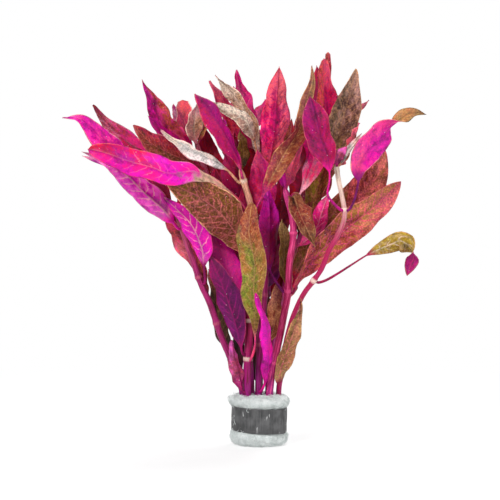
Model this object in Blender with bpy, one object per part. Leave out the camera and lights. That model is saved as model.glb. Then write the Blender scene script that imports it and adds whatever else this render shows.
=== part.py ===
"""A bunch of alternanthera cuttings, held at the foot by filter wool and a soft metal strip.

The bunch stands on its wool. +X is to the right, +Y away from the viewer, +Z up, and the origin is the
middle of the wool's flat foot. Eight stems rise from the wool and spread, each bearing large leaves of
their own and smaller ones grown together with it. Leaves and stems are laid out as they are seen from the
front, in millimetres on the upright plane through the bunch's axis, and each point is then moved along
its sight line to its own depth.
"""

import math
from collections import namedtuple

import bmesh
import bpy
import numpy as np

MM = 0.001

# Sizes, in millimetres.
FOOT_HEIGHT = 25.2  # of the wool, under the leaves
FOOT_RADIUS = 12.2  # of the flat that the bunch stands on
WAIST_RADIUS = 12.9  # of the wool inside the strip
STRIP_WIDTH = 12.4
STRIP_THICKNESS = 0.7
STRIP_MIDDLE = 13.1  # height of the strip's middle above the foot
STEM_FOOT = 0.6  # height of the stems' cut ends above the foot
GAP = 0.3  # left between pieces that touch
LEAF_THICKNESS = 0.9  # at the midrib, and nothing at the margin
PETIOLE_HALF_WIDTH = 0.75

# Angles, in radians.
STRIP_TILT = math.radians(2.5)  # the strip sits a little higher on the left
STRIP_LAP = math.radians(38)  # how far the strip's outer end lies over its inner one
STRIP_END = math.radians(-28)  # where the outer end lies, from +X round to the front
STRIP_CLIMB = math.radians(30)  # the stretch in which it climbs over its inner end
SHARP_EDGE = math.radians(40)

# How finely each shape is faceted.
LEAF_STATIONS = 9
SMALL_LEAF_STATIONS = 6
STEM_STATIONS = 12
STRIP_STATIONS = 42
WOOL_SIDES = 24
LINE_POINTS = 400

EYE = np.array([-4.5, -899.5, 128.9])  # where the front view is seen from

# Each stem's points are (x, z, depth), seen from the front, from its cut end in the wool to its top.
Stem = namedtuple("Stem", "radius top_radius route")

STEMS = {
    "outer_left": Stem(1.8, 1.4, [
        (-7.8, 0.6, -1), (-8.1, 25, -1), (-12.1, 38, -3), (-18.8, 54, -6), (-24.3, 70, -9),
        (-29, 80.5, -10), (-33, 92, -11), (-37.5, 105, -12), (-41, 116, -12)]),
    "front_left": Stem(2.4, 1.5, [
        (-5.9, 0.6, -6.4), (-6.1, 25, -6.4), (-5.9, 35, -7), (-5.5, 43, -8), (-5, 55, -8), (-4.8, 75, -6),
        (-4, 95, -4), (-3.6, 110, -3), (-4.2, 120, -3), (-6.8, 129, -4), (-8.8, 136, -5)]),
    "centre": Stem(1.8, 1.4, [
        (-0.3, 0.6, -3.2), (-0.3, 25, -3.4), (0.3, 45, -2), (2, 65, 0), (3.5, 90, 3), (3, 112, 5),
        (1.4, 130, 6), (1.2, 144, 7)]),
    "front_right": Stem(1.9, 1.6, [
        (4.7, 0.6, -5.6), (5.3, 25, -5.8), (7, 38, -6.5), (10.4, 54, -8.5), (12.7, 66, -10.5),
        (14.6, 76.5, -12), (15.2, 90, -13), (17.2, 104, -14), (16.3, 115, -13), (13.2, 127, -11)]),
    "outer_right": Stem(1.4, 1.15, [
        (9.3, 0.6, -0.8), (9.8, 25, -1.2), (11.2, 36, -4), (13, 48, -8), (15.2, 58, -12), (18.2, 67, -16),
        (22.4, 75.5, -20), (27.4, 82.3, -23), (31.5, 88.5, -25), (35, 97, -27), (39.4, 105, -28),
        (42.3, 112, -28), (42.7, 117.5, -28), (41.3, 125, -27), (39.6, 133, -26), (38.7, 138.5, -25)]),
    "back_right": Stem(1.8, 1.3, [
        (4.6, 0.6, 3.8), (4.7, 25, 4), (6, 45, 8), (9.5, 66, 12), (16, 90, 17), (24.5, 115, 20),
        (31, 135, 22), (34.8, 150, 22)]),
    "back_left": Stem(1.8, 1.3, [
        (-3.6, 0.6, 3.4), (-3.8, 25, 3.6), (-5, 45, 8), (-9, 70, 12), (-14, 95, 16), (-21, 120, 18),
        (-27, 138, 18), (-31, 150, 17)]),
    "back": Stem(1.8, 1.3, [
        (0.3, 0.6, 7.6), (0.3, 25, 7.8), (0.5, 50, 14), (0, 80, 22), (-2, 105, 28), (-4.5, 130, 32),
        (-6, 145, 34), (-6.4, 155, 34)]),
}

# Each leaf leaves its stem at a height, and its midrib runs through (x, z, depth) to its tip. Width is the
# blade's greatest. face says which side the viewer sees, and roll turns the blade about its midrib, in
# degrees from flat on, at even steps from foot to tip. cup folds its halves up, peak is where along the
# blade it is widest, petiole the share of the length that is stalk, and cut where a torn tip ends.
Leaf = namedtuple(
    "Leaf", "name stem height route width face roll tone cup peak petiole cut",
    defaults=(9, 0.45, 0.1, 1.0),
)

LEAVES = [
    # The left side.
    Leaf("leaf_far_left", "outer_left", 113, [(-54, 131, -4), (-68, 143.5, -3), (-79.8, 154.2, -6),
         (-89, 162.6, -10), (-98, 163.6, -15)], 12.5, "under", (20, 0, 10, 40), "magenta", 8, 0.5),
    Leaf("leaf_left_front", "front_left", 117, [(-12, 124.3, -10), (-22.6, 131.9, -24), (-33, 136.5, -37),
         (-44.5, 135.8, -41), (-54, 139, -41), (-64.5, 141.8, -40), (-77, 146.2, -39), (-85.3, 148, -37)],
         13.5, "under", (60, 62, 65, 65, 20, 0, 0, 0, 0), "magenta", 8, 0.7, 0.12),
    Leaf("leaf_left_under", "outer_left", 109, [(-47.8, 117.5, -18), (-57.7, 126.4, -21),
         (-65.5, 134.2, -22), (-76.5, 142, -24), (-89, 146.8, -26)], 12.5, "under", (10, 0), "magenta", 14,
         0.34),
    Leaf("leaf_low_left", "outer_left", 84, [(-34, 94, -4), (-38.6, 105, 0), (-43.2, 116, 3),
         (-48.5, 127, 6)], 13, "under", (35, 35), "rose"),
    Leaf("leaf_mid_magenta", "outer_left", 80.5, [(-27.6, 91, -15), (-28.6, 99, -18), (-33.5, 110, -22),
         (-41, 118, -25), (-47.5, 123.5, -27)], 13, "under", (-30, -30), "magenta", 10, petiole=0.2),
    Leaf("leaf_big_brown", "front_left", 95, [(-12, 106.5, -15), (-20, 116.5, -24), (-30, 124, -31),
         (-40, 129, -35), (-49, 134, -36)], 21, "upper", (0, 0), "brown", 8, petiole=0.05),
    Leaf("leaf_brown_upper_left", "back_left", 134, [(-35, 141.3, 7), (-45, 146, -1), (-55, 151.8, -7),
         (-62.5, 160, -10)], 15, "upper", (30, 25), "brown", 10, 0.5),
    Leaf("leaf_left_back", "outer_left", 111, [(-52, 135.5, 4), (-65.5, 151, 8), (-76.3, 160.8, 8),
         (-83, 169.8, 7)], 12.5, "upper", (45, 45), "russet", 10, 0.6),
    Leaf("leaf_upper_left", "back_left", 146, [(-38.5, 151, 14), (-46.4, 158, 11), (-50.4, 166.4, 8),
         (-53.9, 174, 5), (-56.6, 178.5, 4), (-58.4, 182.6, 3)], 14, "under", (-30, -30, -10), "plum", 8,
         0.33),
    Leaf("leaf_crimson_left", "back_left", 139, [(-36.5, 146, 9), (-46.5, 155, 5), (-55.5, 164.5, 3)], 9,
         "under", (35, 35), "magenta"),
    Leaf("leaf_pale_left", "front_left", 132, [(-16, 137.5, -8), (-22.6, 141.7, -12), (-34.8, 147.5, -17),
         (-43, 152.6, -18.5), (-49, 157.3, -19)], 8, "under", (40, 40, 45), "pale", 12, 0.5, 0.2),
    Leaf("leaf_magenta_red", "front_left", 134.5, [(-11, 143, -9), (-18, 156, -15), (-25, 167, -18),
         (-32, 175.5, -19)], 13, "under", (45, 40, 30), "magenta_red", 12, 0.55),
    # The top.
    Leaf("leaf_pale_bend", "centre", 138, [(-1.5, 148, 0), (-3.5, 156, -5), (-7.5, 162.5, -9),
         (-14, 167, -10), (-26, 170.7, -10)], 8.5, "under", (40, 40, 30), "pale", 10, 0.42, 0.34),
    Leaf("leaf_tan_top", "centre", 142, [(-2, 155, 4), (-6.5, 166, 2), (-13, 175, 0), (-22, 184.5, -2)],
         11, "upper", (-45, -45), "tan", 8, 0.5),
    Leaf("leaf_red_top", "back", 149, [(-11, 160, 28), (-16.5, 169, 22), (-24.5, 182, 17)], 12, "under",
         (45, 45), "red"),
    Leaf("leaf_pink_top", "back", 153, [(-5.5, 163, 25), (-9.2, 176.5, 19), (-11.4, 187.3, 15)], 11,
         "under", (-40, -40), "pink"),
    Leaf("leaf_crimson_centre", "centre", 131, [(5, 140, 1), (7.6, 155, -3), (8.8, 172, -6),
         (10, 189, -6)], 15, "under", (20, 20), "crimson", 8, 0.5, 0.08),
    Leaf("leaf_brown_twist", "front_left", 117, [(3, 127, -12), (6.5, 134, -16), (13, 146, -17),
         (20, 157, -19), (22.5, 165, -19), (24, 173, -18), (26.4, 181, -17), (26.4, 189.5, -16)], 10.5,
         "upper", (50, 0, 5, 60, 10, 20), "brown", 10, 0.42, 0.16),
    Leaf("leaf_crimson_top", "back_right", 148, [(34.5, 158, 17), (33.6, 170, 12), (32.6, 181, 9),
         (32.3, 193, 8)], 14, "under", (-40, -40), "crimson", 8, 0.42, 0.08, 0.9),
    Leaf("leaf_plum_right", "outer_right", 117.5, [(37, 121, -32), (34.2, 125.5, -33.5), (35.2, 133, -34),
         (34.4, 142.5, -34), (31, 152.5, -33), (28.3, 163, -31), (25.4, 174.5, -29)], 17, "under",
         (30, 30, 30, 30, 20), "plum", 12, 0.5, 0.38),
    Leaf("leaf_rose_right", "front_right", 116, [(19.5, 123, -14), (24, 133, -14), (27.3, 143, -13),
         (26.5, 157, -11), (25, 171, -9)], 14, "under", (-40, -40), "plum", 10, 0.5, 0.2),
    Leaf("leaf_dusky_top", "back_right", 138, [(36, 146, 14), (40, 157, 6), (43.8, 170, 2),
         (48.5, 187.8, -2)], 16.5, "upper", (30, 30), "dusky", 8, 0.5),
    # The right side.
    Leaf("leaf_magenta_right", "outer_right", 117.5, [(47.5, 122.5, -30), (49.5, 131, -31), (50, 139, -31),
         (53.5, 146.5, -30), (60, 153, -28), (67.5, 160.8, -26), (76, 166, -24), (83.5, 165, -22)], 14,
         "under", (50, 20, 0, 0, 30, 160, 170), "magenta", 8, 0.4, 0.24),
    Leaf("leaf_brown_right_back", "back_right", 92, [(28, 99, 7), (40, 110, 0), (51, 123, -4),
         (58.5, 136, -6), (62.5, 148, -7)], 21, "upper", (-25, -25), "brown", 8, 0.55),
    Leaf("leaf_brown_right_front", "front_right", 76.5, [(21, 84, -16), (30.5, 96.4, -17),
         (44, 108.4, -16), (59, 120, -14), (71, 131.8, -12)], 17.5, "upper", (60, 25, 20, 20), "russet", 8,
         0.57, 0.03),
    Leaf("leaf_brown_right_mid", "front_right", 79, [(20, 89, -8), (29, 103, -6), (38, 118, -7),
         (45, 131, -8)], 15, "upper", (20, 20), "brown"),
    Leaf("leaf_olive_droop", "outer_right", 82.3, [(35, 83, -24), (45, 89.3, -24), (55, 95.5, -24),
         (66, 100.4, -25), (71.5, 101.9, -26), (77, 95.8, -27), (74, 84.5, -28)], 10, "upper",
         (60, 30, 0, 0, 0, 0, 10, 150, 180), "olive", 6, 0.55, 0.42),
    # The middle and the foot.
    Leaf("leaf_green_centre", "front_left", 43, [(-2, 50, -16), (-2.2, 62, -21), (-2.7, 76, -25),
         (-2.4, 92, -26), (-5, 106, -25), (-3.6, 121.4, -22)], 14.5, "upper", (-25, -25), "olive", 14,
         0.64, 0.16),
    Leaf("leaf_magenta_spike", "centre", 27, [(3.4, 33, -10), (4.6, 46, -19), (3, 61, -28), (-2, 76, -35)],
         7.5, "under", (40, 40), "magenta", 12),
    Leaf("leaf_violet_low", "front_left", 45.5, [(-10, 54, -12), (-14, 68, -15), (-19, 82, -16),
         (-25, 95, -16)], 14, "under", (-30, -30), "violet", 10, 0.5),
    Leaf("leaf_violet_high", "front_left", 62, [(-11, 72, -8), (-15, 85, -9), (-19, 97, -10),
         (-23.5, 108, -11)], 16, "under", (20, 20), "violet", 10, 0.55),
    Leaf("leaf_dusky_left", "outer_left", 42, [(-17.5, 52, 3), (-20, 62, 7), (-22, 74, 11), (-25, 88, 15)],
         12, "upper", (45, 45), "dusky", 8),
    Leaf("leaf_violet_small", "front_left", 27, [(-10.5, 35, -11), (-12.8, 44, -13), (-14, 52.5, -14)], 8,
         "under", (40, 40), "violet", 10),
    Leaf("leaf_dusky_centre", "centre", 50, [(7, 57, -3), (8.3, 67, -3.2), (9, 81, -3)], 9, "upper",
         (-30, -30), "dusky", 8, 0.5),
    Leaf("leaf_olive_narrow", "front_right", 79, [(12.4, 88, -7), (12.8, 100, -6), (11.3, 113, -5)], 10,
         "upper", (45, 45), "olive", 8, 0.5),
    Leaf("leaf_brown_fore", "front_right", 123, [(17.5, 124, -19), (19.7, 117, -23), (23.2, 109.5, -24),
         (28.3, 99, -24)], 12, "upper", (-35, -35), "dusky", 12),
    Leaf("leaf_violet_centre", "front_right", 76.5, [(7, 84, -12), (4.6, 90, -10.5), (5, 101, -9),
         (5.2, 115, -8), (4.2, 130, -6.3)], 12, "under", (40, 30, 20), "violet", 8, petiole=0.24),
    Leaf("leaf_crimson_mid", "centre", 112, [(1.5, 121, -1), (1.5, 134, -2), (-1, 147.5, -4)], 15, "under",
         (-8, -8), "crimson"),
    Leaf("leaf_pink_small", "front_right", 100, [(23, 102, -11), (28.5, 108.5, -11), (31.5, 117, -11),
         (34.5, 126, -11)], 9, "under", (20, 20), "pink"),
    Leaf("leaf_olive_right", "back_right", 110, [(26, 120, 8), (30.5, 132, 0), (34.5, 147, -3)], 13,
         "upper", (-40, -40), "olive"),
    Leaf("leaf_tan_low_right", "outer_right", 28, [(10.8, 37, -10), (14.9, 49, -17), (18.1, 58.5, -21),
         (20.6, 67, -24), (20.8, 73.5, -24)], 10, "upper", (40, 40, 20), "tan", 12, 0.38),
    # The back, behind what the front view shows.
    Leaf("leaf_back_1", "back", 70, [(4, 82, 32), (8, 96, 42), (12, 112, 50)], 15, "under", (30, 30),
         "plum"),
    Leaf("leaf_back_2", "back", 95, [(-9, 106, 38), (-20, 117, 48), (-34, 126, 54)], 16, "upper",
         (-30, -30), "brown"),
    Leaf("leaf_back_3", "back_left", 80, [(-18, 92, 26), (-28, 103, 36), (-41, 113, 42)], 15, "under",
         (-40, -40), "magenta"),
    Leaf("leaf_back_4", "back_right", 75, [(21, 92, 24), (31, 103, 34), (43, 112, 42)], 15, "under",
         (40, 40), "crimson"),
    Leaf("leaf_back_5", "back_right", 118, [(30, 125, 34), (33, 139, 46), (31, 156, 56)], 15, "upper",
         (-50, -50), "olive"),
    Leaf("leaf_back_6", "back_left", 115, [(-26, 128, 34), (-34, 142, 44), (-42, 156, 50)], 15, "under",
         (50, 50), "red"),
    Leaf("leaf_back_7", "back", 120, [(0, 134, 44), (3, 150, 54), (5, 166, 60)], 15, "under", (60, 60),
         "magenta_red"),
    Leaf("leaf_back_8", "back_right", 104, [(22, 115, 32), (21, 128, 41), (18, 141, 47)], 15, "upper",
         (-70, -70), "russet"),
    Leaf("leaf_back_9", "back_left", 99, [(-17, 112, 26), (-17, 126, 34), (-19, 142, 40)], 15, "under",
         (70, 70), "crimson"),
]

# The small leaves grown together with each stem: those at its top have no height, and the rest leave it at
# a height, on the side away from the viewer. Their other values are as a leaf's.
Small = namedtuple("Small", "height route width face roll tone cut", defaults=(1.0,))

SMALL_LEAVES = {
    "outer_left": [
        Small(None, [(-56, 141, -12), (-70, 154, -14)], 8, "under", 35, "crimson"),
        Small(None, [(-55, 128, -12), (-70, 138.5, -15), (-88.5, 144.5, -18)], 5.5, "under", 20,
              "magenta"),
        Small(None, [(-40, 128, 2), (-42, 142, 14), (-47, 155, 24)], 13, "upper", 60, "brown"),
        Small(70, [(-28.5, 83, 1), (-34.5, 97, 13), (-40.5, 110, 24)], 12, "upper", 65, "brown"),
        Small(32, [(-10.5, 42, 6), (-10.5, 52, 11), (-12, 64, 15)], 7, "upper", 20, "violet"),
    ],
    "front_left": [
        Small(None, [(-8, 146, 0), (-9.5, 158, 2)], 7, "upper", 40, "olive"),
        Small(None, [(-14, 146, 2), (-20, 160, 7)], 11, "under", -40, "crimson"),
        Small(80, [(-9, 92, 4), (-13, 105, 7), (-16, 118, 6)], 15, "under", 20, "crimson"),
    ],
    "centre": [
        Small(None, [(-3.5, 154, 14), (-7, 168, 14)], 12, "under", 35, "crimson"),
        Small(None, [(5, 154, 18), (7, 170, 26)], 13, "under", -45, "magenta_red"),
        Small(75, [(6, 88, 10), (9, 101, 14), (9, 114, 12)], 14, "under", 20, "violet"),
        Small(90, [(-3, 102, 10), (-6.5, 115, 10), (-8, 130, 9)], 14, "under", -20, "crimson"),
        Small(95, [(8.5, 107, 13), (11, 120, 13), (10, 134, 13)], 13, "under", 10, "red"),
        Small(112, [(0, 124, 14), (-2.5, 140, 15), (-1, 162, 15)], 13, "under", 10, "red"),
    ],
    "front_right": [
        Small(None, [(17, 141, -6), (21, 153, -5)], 11, "under", 40, "pink"),
        Small(None, [(11.5, 134, -12), (11, 140, -12.5)], 4, "under", 0, "magenta"),
        Small(None, [(14.3, 139, 0), (15, 150, 8), (16.3, 163, 12)], 11, "upper", 0, "brown"),
        Small(67, [(14.5, 78, -4), (17.5, 89, 3), (20, 101, 5)], 12, "upper", 55, "olive"),
    ],
    "outer_right": [
        Small(None, [(39.5, 144, -28), (44, 149.3, -29)], 5.5, "under", 0, "magenta"),
        Small(None, [(41.8, 142.3, -23), (44.6, 147.8, -21), (51.5, 156, -20)], 3, "upper", 0, "pale"),
        Small(None, [(44, 146, -17), (49, 159, -10)], 11, "under", 70, "rose"),
    ],
    "back_right": [
        Small(None, [(31, 164, 24), (28.6, 189.5, 24)], 9, "under", 40, "crimson"),
        Small(None, [(43, 161, 25), (54.8, 172.3, 27)], 6, "under", 40, "rose"),
        Small(None, [(37.5, 162, 33), (39, 175, 42)], 13, "upper", -50, "brown"),
        Small(None, [(31, 160, 34), (26, 172, 44)], 12, "under", 60, "magenta"),
        Small(60, [(12, 76, 24), (17, 89, 34), (20, 103, 40)], 14, "upper", 70, "olive"),
        Small(127, [(37, 137, 30), (44, 148, 36), (50, 161, 38)], 14, "upper", -60, "brown"),
        Small(100, [(21.5, 124, 20), (20.5, 139, 20), (18.3, 163, 20)], 14, "under", 10, "red"),
        Small(60, [(9.8, 71, 19), (10.6, 82, 21), (11.5, 94, 22)], 9, "under", 0, "red"),
        Small(None, [(34.2, 178, 16), (34.4, 196.3, 13)], 4, "upper", 15, "brown", 0.8),
    ],
    "back_left": [
        Small(None, [(-32.5, 158, 9.5), (-30.8, 171, 5)], 10, "upper", 30, "dusky"),
        Small(None, [(-36.3, 159.5, 16), (-38.2, 172.5, 14)], 10.5, "under", -30, "red", 0.8),
        Small(None, [(-37, 160, 30), (-43, 170, 40)], 12, "under", 55, "plum"),
        Small(None, [(-26, 161, 27), (-21, 170, 36)], 12, "upper", -55, "olive"),
        Small(60, [(-13, 72, 24), (-16, 84, 35), (-19, 98, 42)], 14, "under", 70, "violet"),
        Small(102, [(-21, 113, 8), (-22, 126, 3), (-22, 139, 3)], 14, "under", 0, "crimson"),
        Small(122, [(-22.5, 136, 22), (-26, 147, 25), (-28, 160, 24)], 13, "under", 0, "red"),
    ],
    "back": [
        Small(None, [(-9, 166, 42), (-13, 179, 48)], 11, "under", 40, "plum"),
        Small(None, [(0, 163, 44), (3, 173, 54)], 12, "upper", -50, "russet"),
        Small(None, [(-12, 161, 42), (-19, 168, 52)], 11, "under", 50, "magenta"),
        Small(48, [(-4, 60, 26), (-9, 73, 36), (-13, 87, 42)], 14, "under", -60, "violet"),
        Small(106, [(-8, 119, 22), (-12, 135, 17), (-12.5, 157, 16)], 15, "under", 0, "crimson"),
        Small(27, [(-1.2, 36, 13), (-2.6, 47, 17), (-4.5, 60, 20)], 8, "under", 0, "violet"),
        Small(48, [(1.8, 57, 15.5), (3.2, 68, 17), (4.3, 79, 18)], 6, "under", 0, "violet"),
    ],
}

# Base colour, roughness and metallic value of each finish.
FINISHES = {
    "magenta": ((0.72, 0.01, 0.40), 0.45, 0.0),
    "magenta_red": ((0.55, 0.02, 0.20), 0.45, 0.0),
    "crimson": ((0.55, 0.02, 0.12), 0.45, 0.0),
    "violet": ((0.20, 0.01, 0.13), 0.45, 0.0),
    "plum": ((0.36, 0.02, 0.16), 0.45, 0.0),
    "rose": ((0.50, 0.08, 0.12), 0.45, 0.0),
    "pink": ((0.75, 0.08, 0.25), 0.45, 0.0),
    "red": ((0.45, 0.03, 0.05), 0.45, 0.0),
    "russet": ((0.33, 0.08, 0.05), 0.5, 0.0),
    "brown": ((0.20, 0.08, 0.03), 0.5, 0.0),
    "olive": ((0.22, 0.17, 0.04), 0.5, 0.0),
    "tan": ((0.42, 0.27, 0.15), 0.5, 0.0),
    "dusky": ((0.17, 0.09, 0.08), 0.5, 0.0),
    "pale": ((0.85, 0.66, 0.55), 0.5, 0.0),
    "stem": ((0.32, 0.02, 0.12), 0.4, 0.0),
    "wool": ((0.86, 0.88, 0.87), 0.95, 0.0),
    "strip": ((0.10, 0.10, 0.10), 0.6, 0.6),
}


def finish(name):
    """The material of one of the finishes, made the first time that it is asked for."""
    made = bpy.data.materials.get(name)
    if made:
        return made
    colour, roughness, metallic = FINISHES[name]
    made = bpy.data.materials.new(name)
    made.use_nodes = True
    shader = made.node_tree.nodes["Principled BSDF"]
    shader.inputs["Base Color"].default_value = (*colour, 1)
    shader.inputs["Roughness"].default_value = roughness
    shader.inputs["Metallic"].default_value = metallic
    return made


def unit(vectors):
    return vectors / np.linalg.norm(vectors, axis=-1, keepdims=True)


def placed(point):
    """Where a point (x, z, depth) of the front view is, in millimetres: its sight line, cut at its depth."""
    x, z, depth = point
    seen = np.array([x, 0.0, z])
    return EYE + (seen - EYE) * (depth - EYE[1]) / -EYE[1]


def smooth_line(points, count):
    """count points, evenly spaced, on the smooth curve through the points given."""
    points = np.array(points, float)
    knots = np.vstack([2 * points[0] - points[1], points, 2 * points[-1] - points[-2]])
    fine = []
    for before, start, end, after in zip(knots, knots[1:], knots[2:], knots[3:]):
        for t in np.linspace(0, 1, 24, endpoint=False):
            fine.append(0.5 * (2 * start + (end - before) * t
                               + (2 * before - 5 * start + 4 * end - after) * t**2
                               + (3 * start - before - 3 * end + after) * t**3))
    fine = np.array(fine + [points[-1]])
    run = np.concatenate([[0], np.cumsum(np.linalg.norm(np.diff(fine, axis=0), axis=1))])
    even = np.linspace(0, run[-1], count)
    return np.stack([np.interp(even, run, fine[:, k]) for k in range(3)], axis=1)


def stem_line(stem, count=LINE_POINTS):
    """The stem's centre line, from its cut end to its top."""
    points = [placed(point) for point in stem.route]
    points[0][2] = STEM_FOOT
    return smooth_line(points, count)


def stem_at(stem, height):
    """The stem's centre, direction and radius at a height seen from the front, or at its top."""
    line = stem_line(stem)
    if height is None:
        return line[-1], unit(line[-1] - line[-2]), stem.top_radius
    seen = EYE[2] + (line[:, 2] - EYE[2]) * -EYE[1] / (line[:, 1] - EYE[1])
    i = int(np.argmin(abs(seen - height)))
    share = i / (len(line) - 1)
    return line[i], unit(line[i + 1] - line[i]), stem.radius + (stem.top_radius - stem.radius) * share


def from_bmesh(name, mesh, finish_name):
    """An object from a bmesh, in millimetres, with its faces turned outwards."""
    bmesh.ops.scale(mesh, vec=(MM, MM, MM), verts=mesh.verts)
    bmesh.ops.triangulate(mesh, faces=mesh.faces)
    bmesh.ops.recalc_face_normals(mesh, faces=mesh.faces)
    data = bpy.data.meshes.new(name)
    mesh.to_mesh(data)
    mesh.free()
    data.shade_smooth()
    data.set_sharp_from_angle(angle=SHARP_EDGE)
    data.materials.append(finish(finish_name))
    made = bpy.data.objects.new(name, data)
    bpy.context.scene.collection.objects.link(made)
    return made


def evaluated_mesh(thing):
    """The object's mesh, as it is after its modifiers or its bevel."""
    bpy.context.view_layer.update()
    graph = bpy.context.evaluated_depsgraph_get()
    return bpy.data.meshes.new_from_object(thing.evaluated_get(graph))


def tube(name, line, radii, finish_name):
    """A round tube along a line, in millimetres, as a mesh with closed ends."""
    curve = bpy.data.curves.new(name, "CURVE")
    curve.dimensions = "3D"
    curve.bevel_depth = 1
    curve.bevel_resolution = 2
    curve.use_fill_caps = True
    spline = curve.splines.new("POLY")
    spline.points.add(len(line) - 1)
    for point, position, radius in zip(spline.points, line, radii):
        point.co = (*position, 1)
        point.radius = radius
    guide = bpy.data.objects.new(name, curve)
    bpy.context.scene.collection.objects.link(guide)
    mesh = bmesh.new()
    mesh.from_mesh(evaluated_mesh(guide))
    bpy.data.objects.remove(guide)
    bmesh.ops.remove_doubles(mesh, verts=mesh.verts, dist=0.001)
    return from_bmesh(name, mesh, finish_name)


def combine(target, others, operation):
    """Joins others to target, or cuts them from it, and removes them."""
    for other in others:
        modifier = target.modifiers.new(other.name, "BOOLEAN")
        modifier.operation = operation
        modifier.object = other
    target.data = evaluated_mesh(target)
    target.modifiers.clear()
    for other in others:
        bpy.data.objects.remove(other)


def half_width(share, leaf):
    """The leaf's half width at a share of its length: a stalk, then an oval drawn out to a tip."""
    blade = np.clip((share - leaf.petiole) / (1 - leaf.petiole), 0, 1) * leaf.cut
    rise, fall = 1.9 * leaf.peak, 1.9 * (1 - leaf.peak)
    oval = blade**rise * (1 - blade) ** fall / (leaf.peak**rise * (1 - leaf.peak) ** fall)
    return np.maximum(leaf.width / 2 * oval, PETIOLE_HALF_WIDTH * (1 - 0.6 * share))


def leaf_sections(line, leaf):
    """The leaf's cross-sections along its midrib: margin, upper face, margin, lower face."""
    share = np.linspace(0, 1, len(line))
    along = unit(np.gradient(line, axis=0))
    sight = unit(line - EYE)
    across = unit(np.cross(along, sight))
    facing = np.cross(across, along)
    facing *= -np.sign(np.sum(facing * sight, axis=1, keepdims=True))
    roll = np.radians(np.interp(share, np.linspace(0, 1, len(leaf.roll)), leaf.roll))[:, None]
    turned = across * np.cos(roll) + facing * np.sin(roll)
    facing = facing * np.cos(roll) - across * np.sin(roll)
    upper = facing if leaf.face == "upper" else -facing
    half = half_width(share, leaf)[:, None]
    fold = math.radians(leaf.cup) * np.sin(math.pi * share)[:, None]
    out, lift = turned * half * np.cos(fold), upper * half * np.sin(fold)
    thick = upper * LEAF_THICKNESS / 2
    return zip(line - out + lift, line + thick, line + out + lift, line - thick)


def make_leaf(leaf, start, stations):
    """A leaf's thin solid, from its foot at start to its tip."""
    line = smooth_line([start] + [placed(point) for point in leaf.route], stations)
    mesh = bmesh.new()
    loops = [[mesh.verts.new(corner) for corner in section] for section in leaf_sections(line, leaf)]
    for low, high in zip(loops, loops[1:]):
        for i, j in ((0, 1), (1, 2), (2, 3), (3, 0)):
            mesh.faces.new((low[i], low[j], high[j], high[i]))
    mesh.faces.new(loops[0])
    mesh.faces.new(loops[-1])
    return from_bmesh(leaf.name, mesh, leaf.tone)


def make_large_leaf(leaf):
    """A leaf of its own, whose foot stands just clear of its stem's side."""
    centre, along, radius = stem_at(STEMS[leaf.stem], leaf.height)
    away = placed(leaf.route[0]) - centre
    away = unit(away - along * np.dot(away, along))
    make_leaf(leaf, centre + away * (radius + GAP + LEAF_THICKNESS), LEAF_STATIONS)


def make_stem(name):
    """A stem with its bud, and the small leaves that are grown together with it."""
    stem = STEMS[name]
    line = stem_line(stem, STEM_STATIONS)
    radii = np.linspace(stem.radius, stem.top_radius, STEM_STATIONS)
    along = unit(line[-1] - line[-2])
    bud_heights, bud_radii = (1.5, 3.0), (stem.top_radius + 0.4, 0.6)
    line = np.vstack([line] + [line[-1] + along * height for height in bud_heights])
    made = tube("stem_" + name, line, [*radii, *bud_radii], "stem")
    leaves = []
    for number, small in enumerate(SMALL_LEAVES[name]):
        leaf = Leaf(f"{name}_{number}", name, small.height, small.route, small.width, small.face,
                    (small.roll, small.roll), small.tone, cut=small.cut)
        start = stem_at(stem, small.height)[0]
        leaves.append(make_leaf(leaf, start, SMALL_LEAF_STATIONS))
    combine(made, leaves, "UNION")


def lean(mesh, share):
    """Leans a bmesh as the strip leans, each point by a share of it that is worked out from its height."""
    for corner in mesh.verts:
        corner.co.z -= corner.co.x * math.tan(STRIP_TILT) * share(corner.co.z)


def lean_of_wool(height):
    """How much of the strip's tilt the wool takes: all of it at its waist, and none at its ends."""
    return min(max(min(height - 1.0, FOOT_HEIGHT - 0.8 - height) / 3.5, 0), 1)


def make_wool():
    """The roll of filter wool, waisted by the strip, with a hole for each stem."""
    low, high = STRIP_MIDDLE - STRIP_WIDTH / 2, STRIP_MIDDLE + STRIP_WIDTH / 2
    profile = [
        (0, 0), (FOOT_RADIUS, 0), (FOOT_RADIUS + 1.5, 1.2), (14.4, 3), (14.5, low - 1.6),
        (WAIST_RADIUS, low - 0.5), (WAIST_RADIUS, high + 0.5), (15.0, high + 1.5), (15.3, high + 3),
        (14.4, FOOT_HEIGHT - 0.7), (12.8, FOOT_HEIGHT), (0, FOOT_HEIGHT),
    ]
    mesh = bmesh.new()
    corners = [mesh.verts.new((radius, 0, height)) for radius, height in profile]
    edges = [mesh.edges.new(pair) for pair in zip(corners, corners[1:])]
    bmesh.ops.spin(mesh, geom=corners + edges, axis=(0, 0, 1), cent=(0, 0, 0), steps=WOOL_SIDES,
                   angle=2 * math.pi, use_merge=True)
    bmesh.ops.remove_doubles(mesh, verts=mesh.verts, dist=0.001)
    lean(mesh, lean_of_wool)
    wool = from_bmesh("wool_wrap", mesh, "wool")
    holes = []
    for stem in STEMS.values():
        line = stem_line(stem, STEM_STATIONS)
        line[0] += (line[0] - line[1]) * 0.3
        line = line[:5]
        holes.append(tube("hole", line, [stem.radius + 1.5 * GAP] * len(line), "wool"))
    combine(wool, holes, "DIFFERENCE")


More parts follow.
